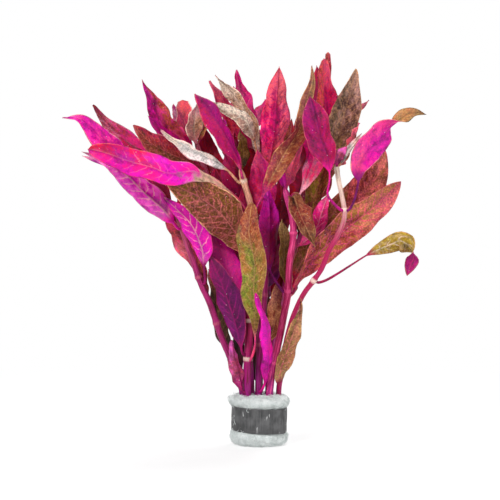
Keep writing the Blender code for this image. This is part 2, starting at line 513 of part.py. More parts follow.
def make_strip():
    """The metal strip, wound once round the wool's waist, with its outer end lapped over its inner one."""
    start = STRIP_END - STRIP_LAP
    turns = np.linspace(start, STRIP_END + 2 * math.pi, STRIP_STATIONS)
    climb = np.clip((turns - start - 2 * math.pi) / STRIP_CLIMB + 1, 0, 1)
    inner = WAIST_RADIUS + GAP + (STRIP_THICKNESS + GAP) * climb
    low = STRIP_MIDDLE - STRIP_WIDTH / 2
    mesh = bmesh.new()
    walls = [
        [mesh.verts.new((r * math.cos(turn), r * math.sin(turn), low)) for r, turn in zip(radii, turns)]
        for radii in (inner, inner + STRIP_THICKNESS)
    ]
    for i in range(STRIP_STATIONS - 1):
        mesh.faces.new((walls[0][i], walls[0][i + 1], walls[1][i + 1], walls[1][i]))
    raised = bmesh.ops.extrude_face_region(mesh, geom=mesh.faces[:], use_keep_orig=True)["geom"]
    top = [part for part in raised if isinstance(part, bmesh.types.BMVert)]
    bmesh.ops.translate(mesh, vec=(0, 0, STRIP_WIDTH), verts=top)
    lean(mesh, lambda height: 1)
    from_bmesh("lead_strip", mesh, "strip")


def main():
    for old in list(bpy.data.objects):
        bpy.data.objects.remove(old)
    make_wool()
    make_strip()
    for name in STEMS:
        make_stem(name)
    for leaf in LEAVES:
        make_large_leaf(leaf)


main()
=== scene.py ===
"""The looks of a bunch of alternanthera cuttings, held by filter wool and a soft metal strip.

Each leaf is grown round its midrib by one Geometry Nodes tree, as a closed thin blade with a rib, veins that
press into it and a waved margin. Stems, wool and strip are grown or built in the same way, in the places of
the solids that they stand for. Leaves and stems are laid out as they are seen from the front, in millimetres
on the upright plane through the bunch's axis, and each point is then moved along its sight line to its own
depth. Meshes are in metres, and the skins of leaves and stems count in millimetres.
"""

import math
from collections import namedtuple
from functools import lru_cache, partialmethod

import bmesh
import bpy
import numpy as np
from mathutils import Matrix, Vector


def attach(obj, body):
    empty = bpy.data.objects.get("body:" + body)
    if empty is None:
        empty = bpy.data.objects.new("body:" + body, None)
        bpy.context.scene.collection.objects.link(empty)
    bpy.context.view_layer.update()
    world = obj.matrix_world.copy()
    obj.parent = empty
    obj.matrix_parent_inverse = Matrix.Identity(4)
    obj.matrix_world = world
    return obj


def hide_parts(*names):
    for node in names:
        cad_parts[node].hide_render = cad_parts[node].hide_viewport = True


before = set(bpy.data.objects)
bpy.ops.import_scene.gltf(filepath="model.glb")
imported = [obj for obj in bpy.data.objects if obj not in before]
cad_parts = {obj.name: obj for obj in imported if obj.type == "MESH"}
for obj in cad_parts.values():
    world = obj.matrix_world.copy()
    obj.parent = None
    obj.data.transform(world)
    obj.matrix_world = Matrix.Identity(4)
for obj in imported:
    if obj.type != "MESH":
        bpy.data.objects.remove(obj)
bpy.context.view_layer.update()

MM = 0.001
TURN = 2 * math.pi

# The view, in millimetres: where the eye is, what it looks at, and the lens on its sensor.
EYE = np.array([-4.5, -899.5, 128.9])
AIM = (-4.5, 0.0, 97.5)
LENS = 129.6
SENSOR_WIDTH = 36

# Sizes, in millimetres, as the solids have them.
FOOT_HEIGHT = 25.2
WAIST_RADIUS = 12.9
STRIP_WIDTH = 12.4
STRIP_THICKNESS = 0.7
STRIP_MIDDLE = 13.1
STEM_FOOT = 0.6
GAP = 0.3
SOLID_LEAF_THICKNESS = 0.9
PETIOLE_HALF_WIDTH = 0.75

# How far the strip leans, how far its ends lap, where its outer end lies, and over what turn it climbs.
STRIP_TILT = math.radians(2.5)
STRIP_LAP = math.radians(38)
STRIP_END = math.radians(-28)
STRIP_CLIMB = math.radians(30)

# How the blades are made, in millimetres: a blade's thickness, the space between its side veins, the steps
# of its points along and across it, with the fewest of each, and how near its two sheets are sewn together.
BLADE_THICKNESS = 0.32
VEIN_SPACING = 5.0
STATION_STEP = 1.1
ACROSS_STEP = 0.55
FEWEST_STATIONS = 24
FEWEST_ACROSS = 9
SEWING_DISTANCE = 0.002

# A smooth line's steps between two of its given points, and the points that are laid evenly on it.
LINE_STEPS = 24
LINE_POINTS = 400

# The blade's outline: the share of the length over which a stalk opens into the blade, how pointed the oval
# is, how fast the stalk thins, how thick it is for its width, and where in its stem a leaf's foot is set, as
# a share of the stem's radius.
BLADE_OPENING = 0.12
OVAL_POWER = 1.9
STALK_TAPER = 1.2
STALK_THICKNESS = 0.85
FOOT_DEPTH = 0.3

# What every blade, every stem and the wool give their trees, with lengths in metres.
BLADE = {
    "Rib Width": 0.75 * MM, "Rib Height": 0.35 * MM, "Wave Count": 3.2, "Curl": 2.6 * MM,
    "Quilt Height": 0.3 * MM, "Vein Spacing": VEIN_SPACING * MM, "Raggedness": 0.55, "Twist": 0.9,
}
STEM_TUBE = {"Sides": 20, "Furrow Depth": 0.35 * MM}
WOOL_ROLL = {
    "Lump Height": 1.7 * MM, "Lump Size": 3.2 * MM, "Strands": 1.3e6, "Strand Length": 5.0 * MM,
    "Strand Radius": 0.07 * MM, "Seed": 5,
}

# A stem's points along it, its rings' rise and width, its bud's heights above its top, its tip's radius and
# the share of its length at which it closes, and the waves of its small leaves, in millimetres.
STEM_POINTS = 110
RING_RISE = 0.45
RING_WIDTH = 1.1
BUD_HEIGHTS = (0.8, 1.6, 2.4, 3.0)
BUD_RADIUS = 0.3
BUD_START = 0.96
SMALL_LEAF_WAVE = 0.6

# What the seeds of the stems start from, and by how much those of leaves go up.
STEM_SEED = 50
LEAF_SEED_STEP = 1.7
SMALL_LEAF_SEED_STEP = 0.31

# The wool's sides before it is rounded, the strip's points round the wool, and its corners' radius as a
# share of its thickness.
WOOL_SIDES = 48
STRIP_STATIONS = 240
STRIP_ROUNDING = 0.4

# How much of the light passes through a leaf and a stem, and the relief of their skins, in millimetres.
LEAF_GLOW = 0.3
STEM_GLOW = 0.1
SKIN_RELIEF = 0.22
SKIN_BUMP = 0.6

# The floor's radius in millimetres, the light of the room on the bunch, and its three lights: where each is
# and its size, in metres, and its power.
FLOOR_RADIUS = 4000
ROOM_LIGHT = 0.24
LIGHTS = {
    "key": ((-0.55, -0.8, 0.75), 0.45, 14), "fill": ((0.8, -0.6, 0.3), 0.5, 5),
    "top": ((0.25, 0.5, 0.9), 0.5, 9),
}
LIGHTS_AIM = (0, 0, 0.1)

# Each stem's points are (x, z, depth), seen from the front, from its cut end in the wool to its top. Its
# rings are the heights at which leaves have grown, and its skin is one of the stem skins below.
Stem = namedtuple("Stem", "radius top_radius skin rings route")

STEMS = {
    "outer_left": Stem(1.8, 1.4, "stem_dark", (42, 61, 84), [
        (-7.8, 0.6, -1), (-8.1, 25, -1), (-12.1, 38, -3), (-18.8, 54, -6), (-24.3, 70, -9),
        (-29, 80.5, -10), (-33, 92, -11), (-37.5, 105, -12), (-41, 116, -12)]),
    "front_left": Stem(2.4, 1.5, "stem_purple", (43, 62, 80, 117.5, 132), [
        (-5.9, 0.6, -6.4), (-6.1, 25, -6.4), (-5.9, 35, -7), (-5.5, 43, -8), (-5, 55, -8), (-4.8, 75, -6),
        (-4, 95, -4), (-3.6, 110, -3), (-4.2, 120, -3), (-6.8, 129, -4), (-8.8, 136, -5)]),
    "centre": Stem(1.8, 1.4, "stem_dark", (50, 75, 112, 131), [
        (-0.3, 0.6, -3.2), (-0.3, 25, -3.4), (0.3, 45, -2), (2, 65, 0), (3.5, 90, 3), (3, 112, 5),
        (1.4, 130, 6), (1.2, 144, 7)]),
    "front_right": Stem(1.9, 1.6, "stem_red", (41, 77, 106), [
        (4.7, 0.6, -5.6), (5.3, 25, -5.8), (7, 38, -6.5), (10.4, 54, -8.5), (12.7, 66, -10.5),
        (14.6, 76.5, -12), (15.2, 90, -13), (17.2, 104, -14), (16.3, 115, -13), (13.2, 127, -11)]),
    "outer_right": Stem(1.4, 1.15, "stem_pink", (48, 82.3, 117.5, 138), [
        (9.3, 0.6, -0.8), (9.8, 25, -1.2), (11.2, 36, -4), (13, 48, -8), (15.2, 58, -12), (18.2, 67, -16),
        (22.4, 75.5, -20), (27.4, 82.3, -23), (31.5, 88.5, -25), (35, 97, -27), (39.4, 105, -28),
        (42.3, 112, -28), (42.7, 117.5, -28), (41.3, 125, -27), (39.6, 133, -26), (38.7, 138.5, -25)]),
    "back_right": Stem(1.8, 1.3, "stem_dark", (60, 92, 127), [
        (4.6, 0.6, 3.8), (4.7, 25, 4), (6, 45, 8), (9.5, 66, 12), (16, 90, 17), (24.5, 115, 20),
        (31, 135, 22), (34.8, 150, 22)]),
    "back_left": Stem(1.8, 1.3, "stem_dark", (60, 80, 102), [
        (-3.6, 0.6, 3.4), (-3.8, 25, 3.6), (-5, 45, 8), (-9, 70, 12), (-14, 95, 16), (-21, 120, 18),
        (-27, 138, 18), (-31, 150, 17)]),
    "back": Stem(1.8, 1.3, "stem_dark", (48, 70, 106), [
        (0.3, 0.6, 7.6), (0.3, 25, 7.8), (0.5, 50, 14), (0, 80, 22), (-2, 105, 28), (-4.5, 130, 32),
        (-6, 145, 34), (-6.4, 155, 34)]),
}

# Each leaf leaves its stem at a height, and its midrib runs through (x, z, depth) to its tip. Width is the
# blade's greatest. face says which side the viewer sees, and roll turns the blade about its midrib, in
# degrees from flat on, at even steps from foot to tip. skin names the colours of the side that is seen.
# cup folds its halves up, peak is where along the blade it is widest, petiole the share of the length that
# is stalk, and cut where a torn tip ends. wave is the height of its margin's waves, in millimetres.
Leaf = namedtuple(
    "Leaf", "name stem height route width face roll skin cup peak petiole cut wave",
    defaults=(9, 0.45, 0.1, 1.0, 0.8),
)

LEAVES = [
    # The left side.
    Leaf("leaf_far_left", "outer_left", 113, [(-54, 131, -4), (-68, 143.5, -3), (-79.8, 154.2, -6),
         (-89, 162.6, -10), (-98, 163.6, -15)], 12.5, "under", (20, 0, 10, 40), "far_left", 8, 0.5),
    Leaf("leaf_left_front", "front_left", 117, [(-12, 124.3, -10), (-22.6, 131.9, -24), (-33, 136.5, -37),
         (-44.5, 135.8, -41), (-54, 139, -41), (-64.5, 141.8, -40), (-77, 146.2, -39), (-85.3, 148, -37)],
         13.5, "under", (60, 62, 65, 65, 20, 0, 0, 0, 0), "left_front", 8, 0.7, 0.12),
    Leaf("leaf_left_under", "outer_left", 109, [(-47.8, 117.5, -18), (-57.7, 126.4, -21),
         (-65.5, 134.2, -22), (-76.5, 142, -24), (-89, 146.8, -26)], 12.5, "under", (10, 0), "left_under",
         14, 0.34, wave=1.4),
    Leaf("leaf_low_left", "outer_left", 84, [(-34, 94, -4), (-38.6, 105, 0), (-43.2, 116, 3),
         (-48.5, 127, 6)], 13, "under", (35, 35), "low_left"),
    Leaf("leaf_mid_magenta", "outer_left", 80.5, [(-27.6, 91, -15), (-28.6, 99, -18), (-33.5, 110, -22),
         (-41, 118, -25), (-47.5, 123.5, -27)], 13, "under", (-30, -30), "mid_magenta", 10, petiole=0.2),
    Leaf("leaf_big_brown", "front_left", 95, [(-12, 106.5, -15), (-20, 116.5, -24), (-30, 124, -31),
         (-40, 129, -35), (-49, 134, -36)], 21, "upper", (0, 0), "big_brown", 8, petiole=0.05),
    Leaf("leaf_brown_upper_left", "back_left", 134, [(-35, 141.3, 7), (-45, 146, -1), (-55, 151.8, -7),
         (-62.5, 160, -10)], 15, "upper", (30, 25), "brown_crimson", 10, 0.5),
    Leaf("leaf_left_back", "outer_left", 111, [(-52, 135.5, 4), (-65.5, 151, 8), (-76.3, 160.8, 8),
         (-83, 169.8, 7)], 12.5, "upper", (45, 45), "dusty_rose", 10, 0.6),
    Leaf("leaf_upper_left", "back_left", 146, [(-38.5, 151, 14), (-46.4, 158, 11), (-50.4, 166.4, 8),
         (-53.9, 174, 5), (-56.6, 178.5, 4), (-58.4, 182.6, 3)], 14, "under", (-30, -30, -10),
         "plum_russet", 8, 0.33),
    Leaf("leaf_crimson_left", "back_left", 139, [(-36.5, 146, 9), (-46.5, 155, 5), (-55.5, 164.5, 3)], 9,
         "under", (35, 35), "crimson_magenta"),
    Leaf("leaf_pale_left", "front_left", 132, [(-16, 137.5, -8), (-22.6, 141.7, -12), (-34.8, 147.5, -17),
         (-43, 152.6, -18.5), (-49, 157.3, -19)], 8, "under", (40, 40, 45), "pale", 12, 0.5, 0.2),
    Leaf("leaf_magenta_red", "front_left", 134.5, [(-11, 143, -9), (-18, 156, -15), (-25, 167, -18),
         (-32, 175.5, -19)], 13, "under", (45, 40, 30), "magenta_red", 12, 0.55),
    # The top.
    Leaf("leaf_pale_bend", "centre", 138, [(-1.5, 148, 0), (-3.5, 156, -5), (-7.5, 162.5, -9),
         (-14, 167, -10), (-26, 170.7, -10)], 8.5, "under", (40, 40, 30), "pale_bend", 10, 0.42, 0.34),
    Leaf("leaf_tan_top", "centre", 142, [(-2, 155, 4), (-6.5, 166, 2), (-13, 175, 0), (-22, 184.5, -2)],
         11, "upper", (-45, -45), "tan_top", 8, 0.5),
    Leaf("leaf_red_top", "back", 149, [(-11, 160, 28), (-16.5, 169, 22), (-24.5, 182, 17)], 12, "under",
         (45, 45), "red_top"),
    Leaf("leaf_pink_top", "back", 153, [(-5.5, 163, 25), (-9.2, 176.5, 19), (-11.4, 187.3, 15)], 11,
         "under", (-40, -40), "pink_top"),
    Leaf("leaf_crimson_centre", "centre", 131, [(5, 140, 1), (7.6, 155, -3), (8.8, 172, -6),
         (10, 189, -6)], 15, "under", (20, 20), "crimson_pink", 8, 0.5, 0.08),
    Leaf("leaf_brown_twist", "front_left", 117, [(3, 127, -12), (6.5, 134, -16), (13, 146, -17),
         (20, 157, -19), (22.5, 165, -19), (24, 173, -18), (26.4, 181, -17), (26.4, 189.5, -16)], 10.5,
         "upper", (50, 0, 5, 60, 10, 20), "brown_twist", 10, 0.42, 0.16),
    Leaf("leaf_crimson_top", "back_right", 148, [(34.5, 158, 17), (33.6, 170, 12), (32.6, 181, 9),
         (32.3, 193, 8)], 14, "under", (-40, -40), "crimson_top", 8, 0.42, 0.08, 0.9),
    Leaf("leaf_plum_right", "outer_right", 117.5, [(37, 121, -32), (34.2, 125.5, -33.5), (35.2, 133, -34),
         (34.4, 142.5, -34), (31, 152.5, -33), (28.3, 163, -31), (25.4, 174.5, -29)], 17, "under",
         (30, 30, 30, 30, 20), "plum_right", 12, 0.5, 0.38),
    Leaf("leaf_rose_right", "front_right", 116, [(19.5, 123, -14), (24, 133, -14), (27.3, 143, -13),
         (26.5, 157, -11), (25, 171, -9)], 14, "under", (-40, -40), "rose_right", 10, 0.5, 0.2),
    Leaf("leaf_dusky_top", "back_right", 138, [(36, 146, 14), (40, 157, 6), (43.8, 170, 2),
         (48.5, 187.8, -2)], 16.5, "upper", (30, 30), "dusky_top", 8, 0.5),
    # The right side.
    Leaf("leaf_magenta_right", "outer_right", 117.5, [(47.5, 122.5, -30), (49.5, 131, -31), (50, 139, -31),
         (53.5, 146.5, -30), (60, 153, -28), (67.5, 160.8, -26), (76, 166, -24), (83.5, 165, -22)], 14,
         "under", (50, 20, 0, 0, 30, 160, 170), "magenta_right", 8, 0.4, 0.24),
    Leaf("leaf_brown_right_back", "back_right", 92, [(28, 99, 7), (40, 110, 0), (51, 123, -4),
         (58.5, 136, -6), (62.5, 148, -7)], 21, "upper", (-25, -25), "brown_right", 8, 0.55),
    Leaf("leaf_brown_right_front", "front_right", 76.5, [(21, 84, -16), (30.5, 96.4, -17),
         (44, 108.4, -16), (59, 120, -14), (71, 131.8, -12)], 17.5, "upper", (60, 25, 20, 20),
         "olive_salmon", 8, 0.57, 0.03),
    Leaf("leaf_brown_right_mid", "front_right", 79, [(20, 89, -8), (29, 103, -6), (38, 118, -7),
         (45, 131, -8)], 15, "upper", (20, 20), "olive_brown"),
    Leaf("leaf_olive_droop", "outer_right", 82.3, [(35, 83, -24), (45, 89.3, -24), (55, 95.5, -24),
         (66, 100.4, -25), (71.5, 101.9, -26), (77, 95.8, -27), (74, 84.5, -28)], 10, "upper",
         (60, 30, 0, 0, 0, 0, 10, 150, 180), "yellow_olive", 6, 0.55, 0.42),
    # The middle and the foot.
    Leaf("leaf_green_centre", "front_left", 43, [(-2, 50, -16), (-2.2, 62, -21), (-2.7, 76, -25),
         (-2.4, 92, -26), (-5, 106, -25), (-3.6, 121.4, -22)], 14.5, "upper", (-25, -25), "green_centre",
         14, 0.64, 0.16),
    Leaf("leaf_magenta_spike", "centre", 27, [(3.4, 33, -10), (4.6, 46, -19), (3, 61, -28), (-2, 76, -35)],
         7.5, "under", (40, 40), "spike", 12),
    Leaf("leaf_violet_low", "front_left", 45.5, [(-10, 54, -12), (-14, 68, -15), (-19, 82, -16),
         (-25, 95, -16)], 14, "under", (-30, -30), "violet_low", 10, 0.5),
    Leaf("leaf_violet_high", "front_left", 62, [(-11, 72, -8), (-15, 85, -9), (-19, 97, -10),
         (-23.5, 108, -11)], 16, "under", (20, 20), "violet_high", 10, 0.55),
    Leaf("leaf_dusky_left", "outer_left", 42, [(-17.5, 52, 3), (-20, 62, 7), (-22, 74, 11), (-25, 88, 15)],
         12, "upper", (45, 45), "dusky_left", 8),
    Leaf("leaf_violet_small", "front_left", 27, [(-10.5, 35, -11), (-12.8, 44, -13), (-14, 52.5, -14)], 8,
         "under", (40, 40), "violet_small", 10),
    Leaf("leaf_dusky_centre", "centre", 50, [(7, 57, -3), (8.3, 67, -3.2), (9, 81, -3)], 9, "upper",
         (-30, -30), "brown_rose", 8, 0.5),
    Leaf("leaf_olive_narrow", "front_right", 79, [(12.4, 88, -7), (12.8, 100, -6), (11.3, 113, -5)], 10,
         "upper", (45, 45), "khaki", 8, 0.5),
    Leaf("leaf_brown_fore", "front_right", 123, [(17.5, 124, -19), (19.7, 117, -23), (23.2, 109.5, -24),
         (28.3, 99, -24)], 12, "upper", (-35, -35), "dark_olive", 12),
    Leaf("leaf_violet_centre", "front_right", 76.5, [(7, 84, -12), (4.6, 90, -10.5), (5, 101, -9),
         (5.2, 115, -8), (4.2, 130, -6.3)], 12, "under", (40, 30, 20), "violet_centre", 8, petiole=0.24),
    Leaf("leaf_crimson_mid", "centre", 112, [(1.5, 121, -1), (1.5, 134, -2), (-1, 147.5, -4)], 15, "under",
         (-8, -8), "bright_crimson"),
    Leaf("leaf_pink_small", "front_right", 100, [(23, 102, -11), (28.5, 108.5, -11), (31.5, 117, -11),
         (34.5, 126, -11)], 9, "under", (20, 20), "pink_small"),
    Leaf("leaf_olive_right", "back_right", 110, [(26, 120, 8), (30.5, 132, 0), (34.5, 147, -3)], 13,
         "upper", (-40, -40), "olive_orange"),
    Leaf("leaf_tan_low_right", "outer_right", 28, [(10.8, 37, -10), (14.9, 49, -17), (18.1, 58.5, -21),
         (20.6, 67, -24), (20.8, 73.5, -24)], 10, "upper", (40, 40, 20), "tan_low", 12, 0.38),
    # The back, behind what the front view shows.
    Leaf("leaf_back_1", "back", 70, [(4, 82, 32), (8, 96, 42), (12, 112, 50)], 15, "under", (30, 30),
         "plum_right"),
    Leaf("leaf_back_2", "back", 95, [(-9, 106, 38), (-20, 117, 48), (-34, 126, 54)], 16, "upper",
         (-30, -30), "big_brown"),
    Leaf("leaf_back_3", "back_left", 80, [(-18, 92, 26), (-28, 103, 36), (-41, 113, 42)], 15, "under",
         (-40, -40), "mid_magenta"),
    Leaf("leaf_back_4", "back_right", 75, [(21, 92, 24), (31, 103, 34), (43, 112, 42)], 15, "under",
         (40, 40), "crimson_pink"),
    Leaf("leaf_back_5", "back_right", 118, [(30, 125, 34), (33, 139, 46), (31, 156, 56)], 15, "upper",
         (-50, -50), "olive_orange"),
    Leaf("leaf_back_6", "back_left", 115, [(-26, 128, 34), (-34, 142, 44), (-42, 156, 50)], 15, "under",
         (50, 50), "red_top"),
    Leaf("leaf_back_7", "back", 120, [(0, 134, 44), (3, 150, 54), (5, 166, 60)], 15, "under", (60, 60),
         "magenta_red"),
    Leaf("leaf_back_8", "back_right", 104, [(22, 115, 32), (21, 128, 41), (18, 141, 47)], 15, "upper",
         (-70, -70), "brown_right"),
    Leaf("leaf_back_9", "back_left", 99, [(-17, 112, 26), (-17, 126, 34), (-19, 142, 40)], 15, "under",
         (70, 70), "crimson_magenta"),
]

# The small leaves grown together with each stem: those at its top have no height, and the rest leave it at
# a height, on the side away from the viewer. Their other values are as a leaf's.
Small = namedtuple("Small", "height route width face roll skin cut", defaults=(1.0,))

SMALL_LEAVES = {
    "outer_left": [
        Small(None, [(-56, 141, -12), (-70, 154, -14)], 8, "under", 35, "deep_crimson"),
        Small(None, [(-55, 128, -12), (-70, 138.5, -15), (-88.5, 144.5, -18)], 5.5, "under", 20,
              "left_under"),
        Small(None, [(-40, 128, 2), (-42, 142, 14), (-47, 155, 24)], 13, "upper", 60, "brown_crimson"),
        Small(70, [(-28.5, 83, 1), (-34.5, 97, 13), (-40.5, 110, 24)], 12, "upper", 65, "brown_right"),
        Small(32, [(-10.5, 42, 6), (-10.5, 52, 11), (-12, 64, 15)], 7, "upper", 20, "dark_violet"),
    ],
    "front_left": [
        Small(None, [(-8, 146, 0), (-9.5, 158, 2)], 7, "upper", 40, "khaki"),
        Small(None, [(-14, 146, 2), (-20, 160, 7)], 11, "under", -40, "deep_crimson"),
        Small(80, [(-9, 92, 4), (-13, 105, 7), (-16, 118, 6)], 15, "under", 20, "deep_crimson"),
    ],
    "centre": [
        Small(None, [(-3.5, 154, 14), (-7, 168, 14)], 12, "under", 35, "deep_crimson"),
        Small(None, [(5, 154, 18), (7, 170, 26)], 13, "under", -45, "magenta_red"),
        Small(75, [(6, 88, 10), (9, 101, 14), (9, 114, 12)], 14, "under", 20, "violet_centre"),
        Small(90, [(-3, 102, 10), (-6.5, 115, 10), (-8, 130, 9)], 14, "under", -20, "deep_crimson"),
        Small(95, [(8.5, 107, 13), (11, 120, 13), (10, 134, 13)], 13, "under", 10, "maroon"),
        Small(112, [(0, 124, 14), (-2.5, 140, 15), (-1, 162, 15)], 13, "under", 10, "maroon"),
    ],
    "front_right": [
        Small(None, [(17, 141, -6), (21, 153, -5)], 11, "under", 40, "salmon_pink"),
        Small(None, [(11.5, 134, -12), (11, 140, -12.5)], 4, "under", 0, "spike"),
        Small(None, [(14.3, 139, 0), (15, 150, 8), (16.3, 163, 12)], 11, "upper", 0, "brown_crimson"),
        Small(67, [(14.5, 78, -4), (17.5, 89, 3), (20, 101, 5)], 12, "upper", 55, "olive_salmon"),
    ],
    "outer_right": [
        Small(None, [(39.5, 144, -28), (44, 149.3, -29)], 5.5, "under", 0, "violet_small"),
        Small(None, [(41.8, 142.3, -23), (44.6, 147.8, -21), (51.5, 156, -20)], 3, "upper", 0, "pale"),
        Small(None, [(44, 146, -17), (49, 159, -10)], 11, "under", 70, "low_left"),
    ],
    "back_right": [
        Small(None, [(31, 164, 24), (28.6, 189.5, 24)], 9, "under", 40, "deep_crimson"),
        Small(None, [(43, 161, 25), (54.8, 172.3, 27)], 6, "under", 40, "low_left"),
        Small(None, [(37.5, 162, 33), (39, 175, 42)], 13, "upper", -50, "brown_right"),
        Small(None, [(31, 160, 34), (26, 172, 44)], 12, "under", 60, "mid_magenta"),
        Small(60, [(12, 76, 24), (17, 89, 34), (20, 103, 40)], 14, "upper", 70, "olive_brown"),
        Small(127, [(37, 137, 30), (44, 148, 36), (50, 161, 38)], 14, "upper", -60, "big_brown"),
        Small(100, [(21.5, 124, 20), (20.5, 139, 20), (18.3, 163, 20)], 14, "under", 10, "maroon"),
        Small(60, [(9.8, 71, 19), (10.6, 82, 21), (11.5, 94, 22)], 9, "under", 0, "maroon"),
        Small(None, [(34.2, 178, 16), (34.4, 196.3, 13)], 4, "upper", 15, "brown_crimson", 0.8),
    ],
    "back_left": [
        Small(None, [(-32.5, 158, 9.5), (-30.8, 171, 5)], 10, "upper", 30, "grey_mauve"),
        Small(None, [(-36.3, 159.5, 16), (-38.2, 172.5, 14)], 10.5, "under", -30, "crimson_rose", 0.8),
        Small(None, [(-37, 160, 30), (-43, 170, 40)], 12, "under", 55, "plum_right"),
        Small(None, [(-26, 161, 27), (-21, 170, 36)], 12, "upper", -55, "olive_orange"),
        Small(60, [(-13, 72, 24), (-16, 84, 35), (-19, 98, 42)], 14, "under", 70, "violet_high"),
        Small(102, [(-21, 113, 8), (-22, 126, 3), (-22, 139, 3)], 14, "under", 0, "deep_crimson"),
        Small(122, [(-22.5, 136, 22), (-26, 147, 25), (-28, 160, 24)], 13, "under", 0, "maroon"),
    ],
    "back": [
        Small(None, [(-9, 166, 42), (-13, 179, 48)], 11, "under", 40, "plum_right"),
        Small(None, [(0, 163, 44), (3, 173, 54)], 12, "upper", -50, "dusty_rose"),
        Small(None, [(-12, 161, 42), (-19, 168, 52)], 11, "under", 50, "mid_magenta"),
        Small(48, [(-4, 60, 26), (-9, 73, 36), (-13, 87, 42)], 14, "under", -60, "violet_low"),
        Small(106, [(-8, 119, 22), (-12, 135, 17), (-12.5, 157, 16)], 15, "under", 0, "deep_crimson"),
        Small(27, [(-1.2, 36, 13), (-2.6, 47, 17), (-4.5, 60, 20)], 8, "under", 0, "dark_violet"),
        Small(48, [(1.8, 57, 15.5), (3.2, 68, 17), (4.3, 79, 18)], 6, "under", 0, "dark_violet"),
    ],
}

# The colours that the skins are mixed from, as red, green and blue from 0 to 255 on a screen.
COLOURS = {
    "hot magenta": (255, 0, 205), "magenta": (225, 5, 150), "pink magenta": (238, 50, 175),
    "hot pink": (240, 48, 128), "pink": (238, 85, 145), "pale pink": (250, 170, 190),
    "rose": (220, 85, 122), "dusty rose": (180, 78, 104), "salmon": (234, 122, 130),
    "crimson": (205, 40, 92), "deep crimson": (150, 18, 54), "maroon": (80, 0, 26),
    "raspberry": (172, 22, 84), "plum": (162, 28, 102), "violet": (132, 0, 108),
    "deep violet": (78, 5, 66), "lilac": (235, 110, 200), "russet": (162, 68, 58),
    "orange russet": (196, 92, 64), "brown": (124, 70, 38), "umber": (78, 40, 20),
    "olive": (142, 106, 42), "green": (134, 146, 52), "yellow olive": (188, 162, 62),
    "khaki": (188, 152, 100), "tan": (210, 155, 112), "peach": (250, 188, 152),
    "cream": (246, 228, 208), "white": (252, 246, 242), "pale peach": (254, 214, 180),
    "grey mauve": (172, 130, 124), "grey olive": (106, 90, 66), "dusky": (98, 60, 52),
    "charcoal": (52, 42, 36),
}

# A leaf side's colours: of its stalk, then at its foot, middle and tip, then over its half on the viewer's
# right (side, with how much, negative for the left), then in patches, veins and margin, each with how much.
# The side colour is partly the leaf's own second tone and partly painted sheen and light on one half of its
# fold.
# net is how much of the fine network of veins shows, back names the skin of the other side, and reach is
# the share of the leaf's length that is all of the foot's colour.
Skin = namedtuple("Skin", "stalk foot middle tip side lean patch patches vein veins net rim rims back reach",
                  defaults=(0.15,))

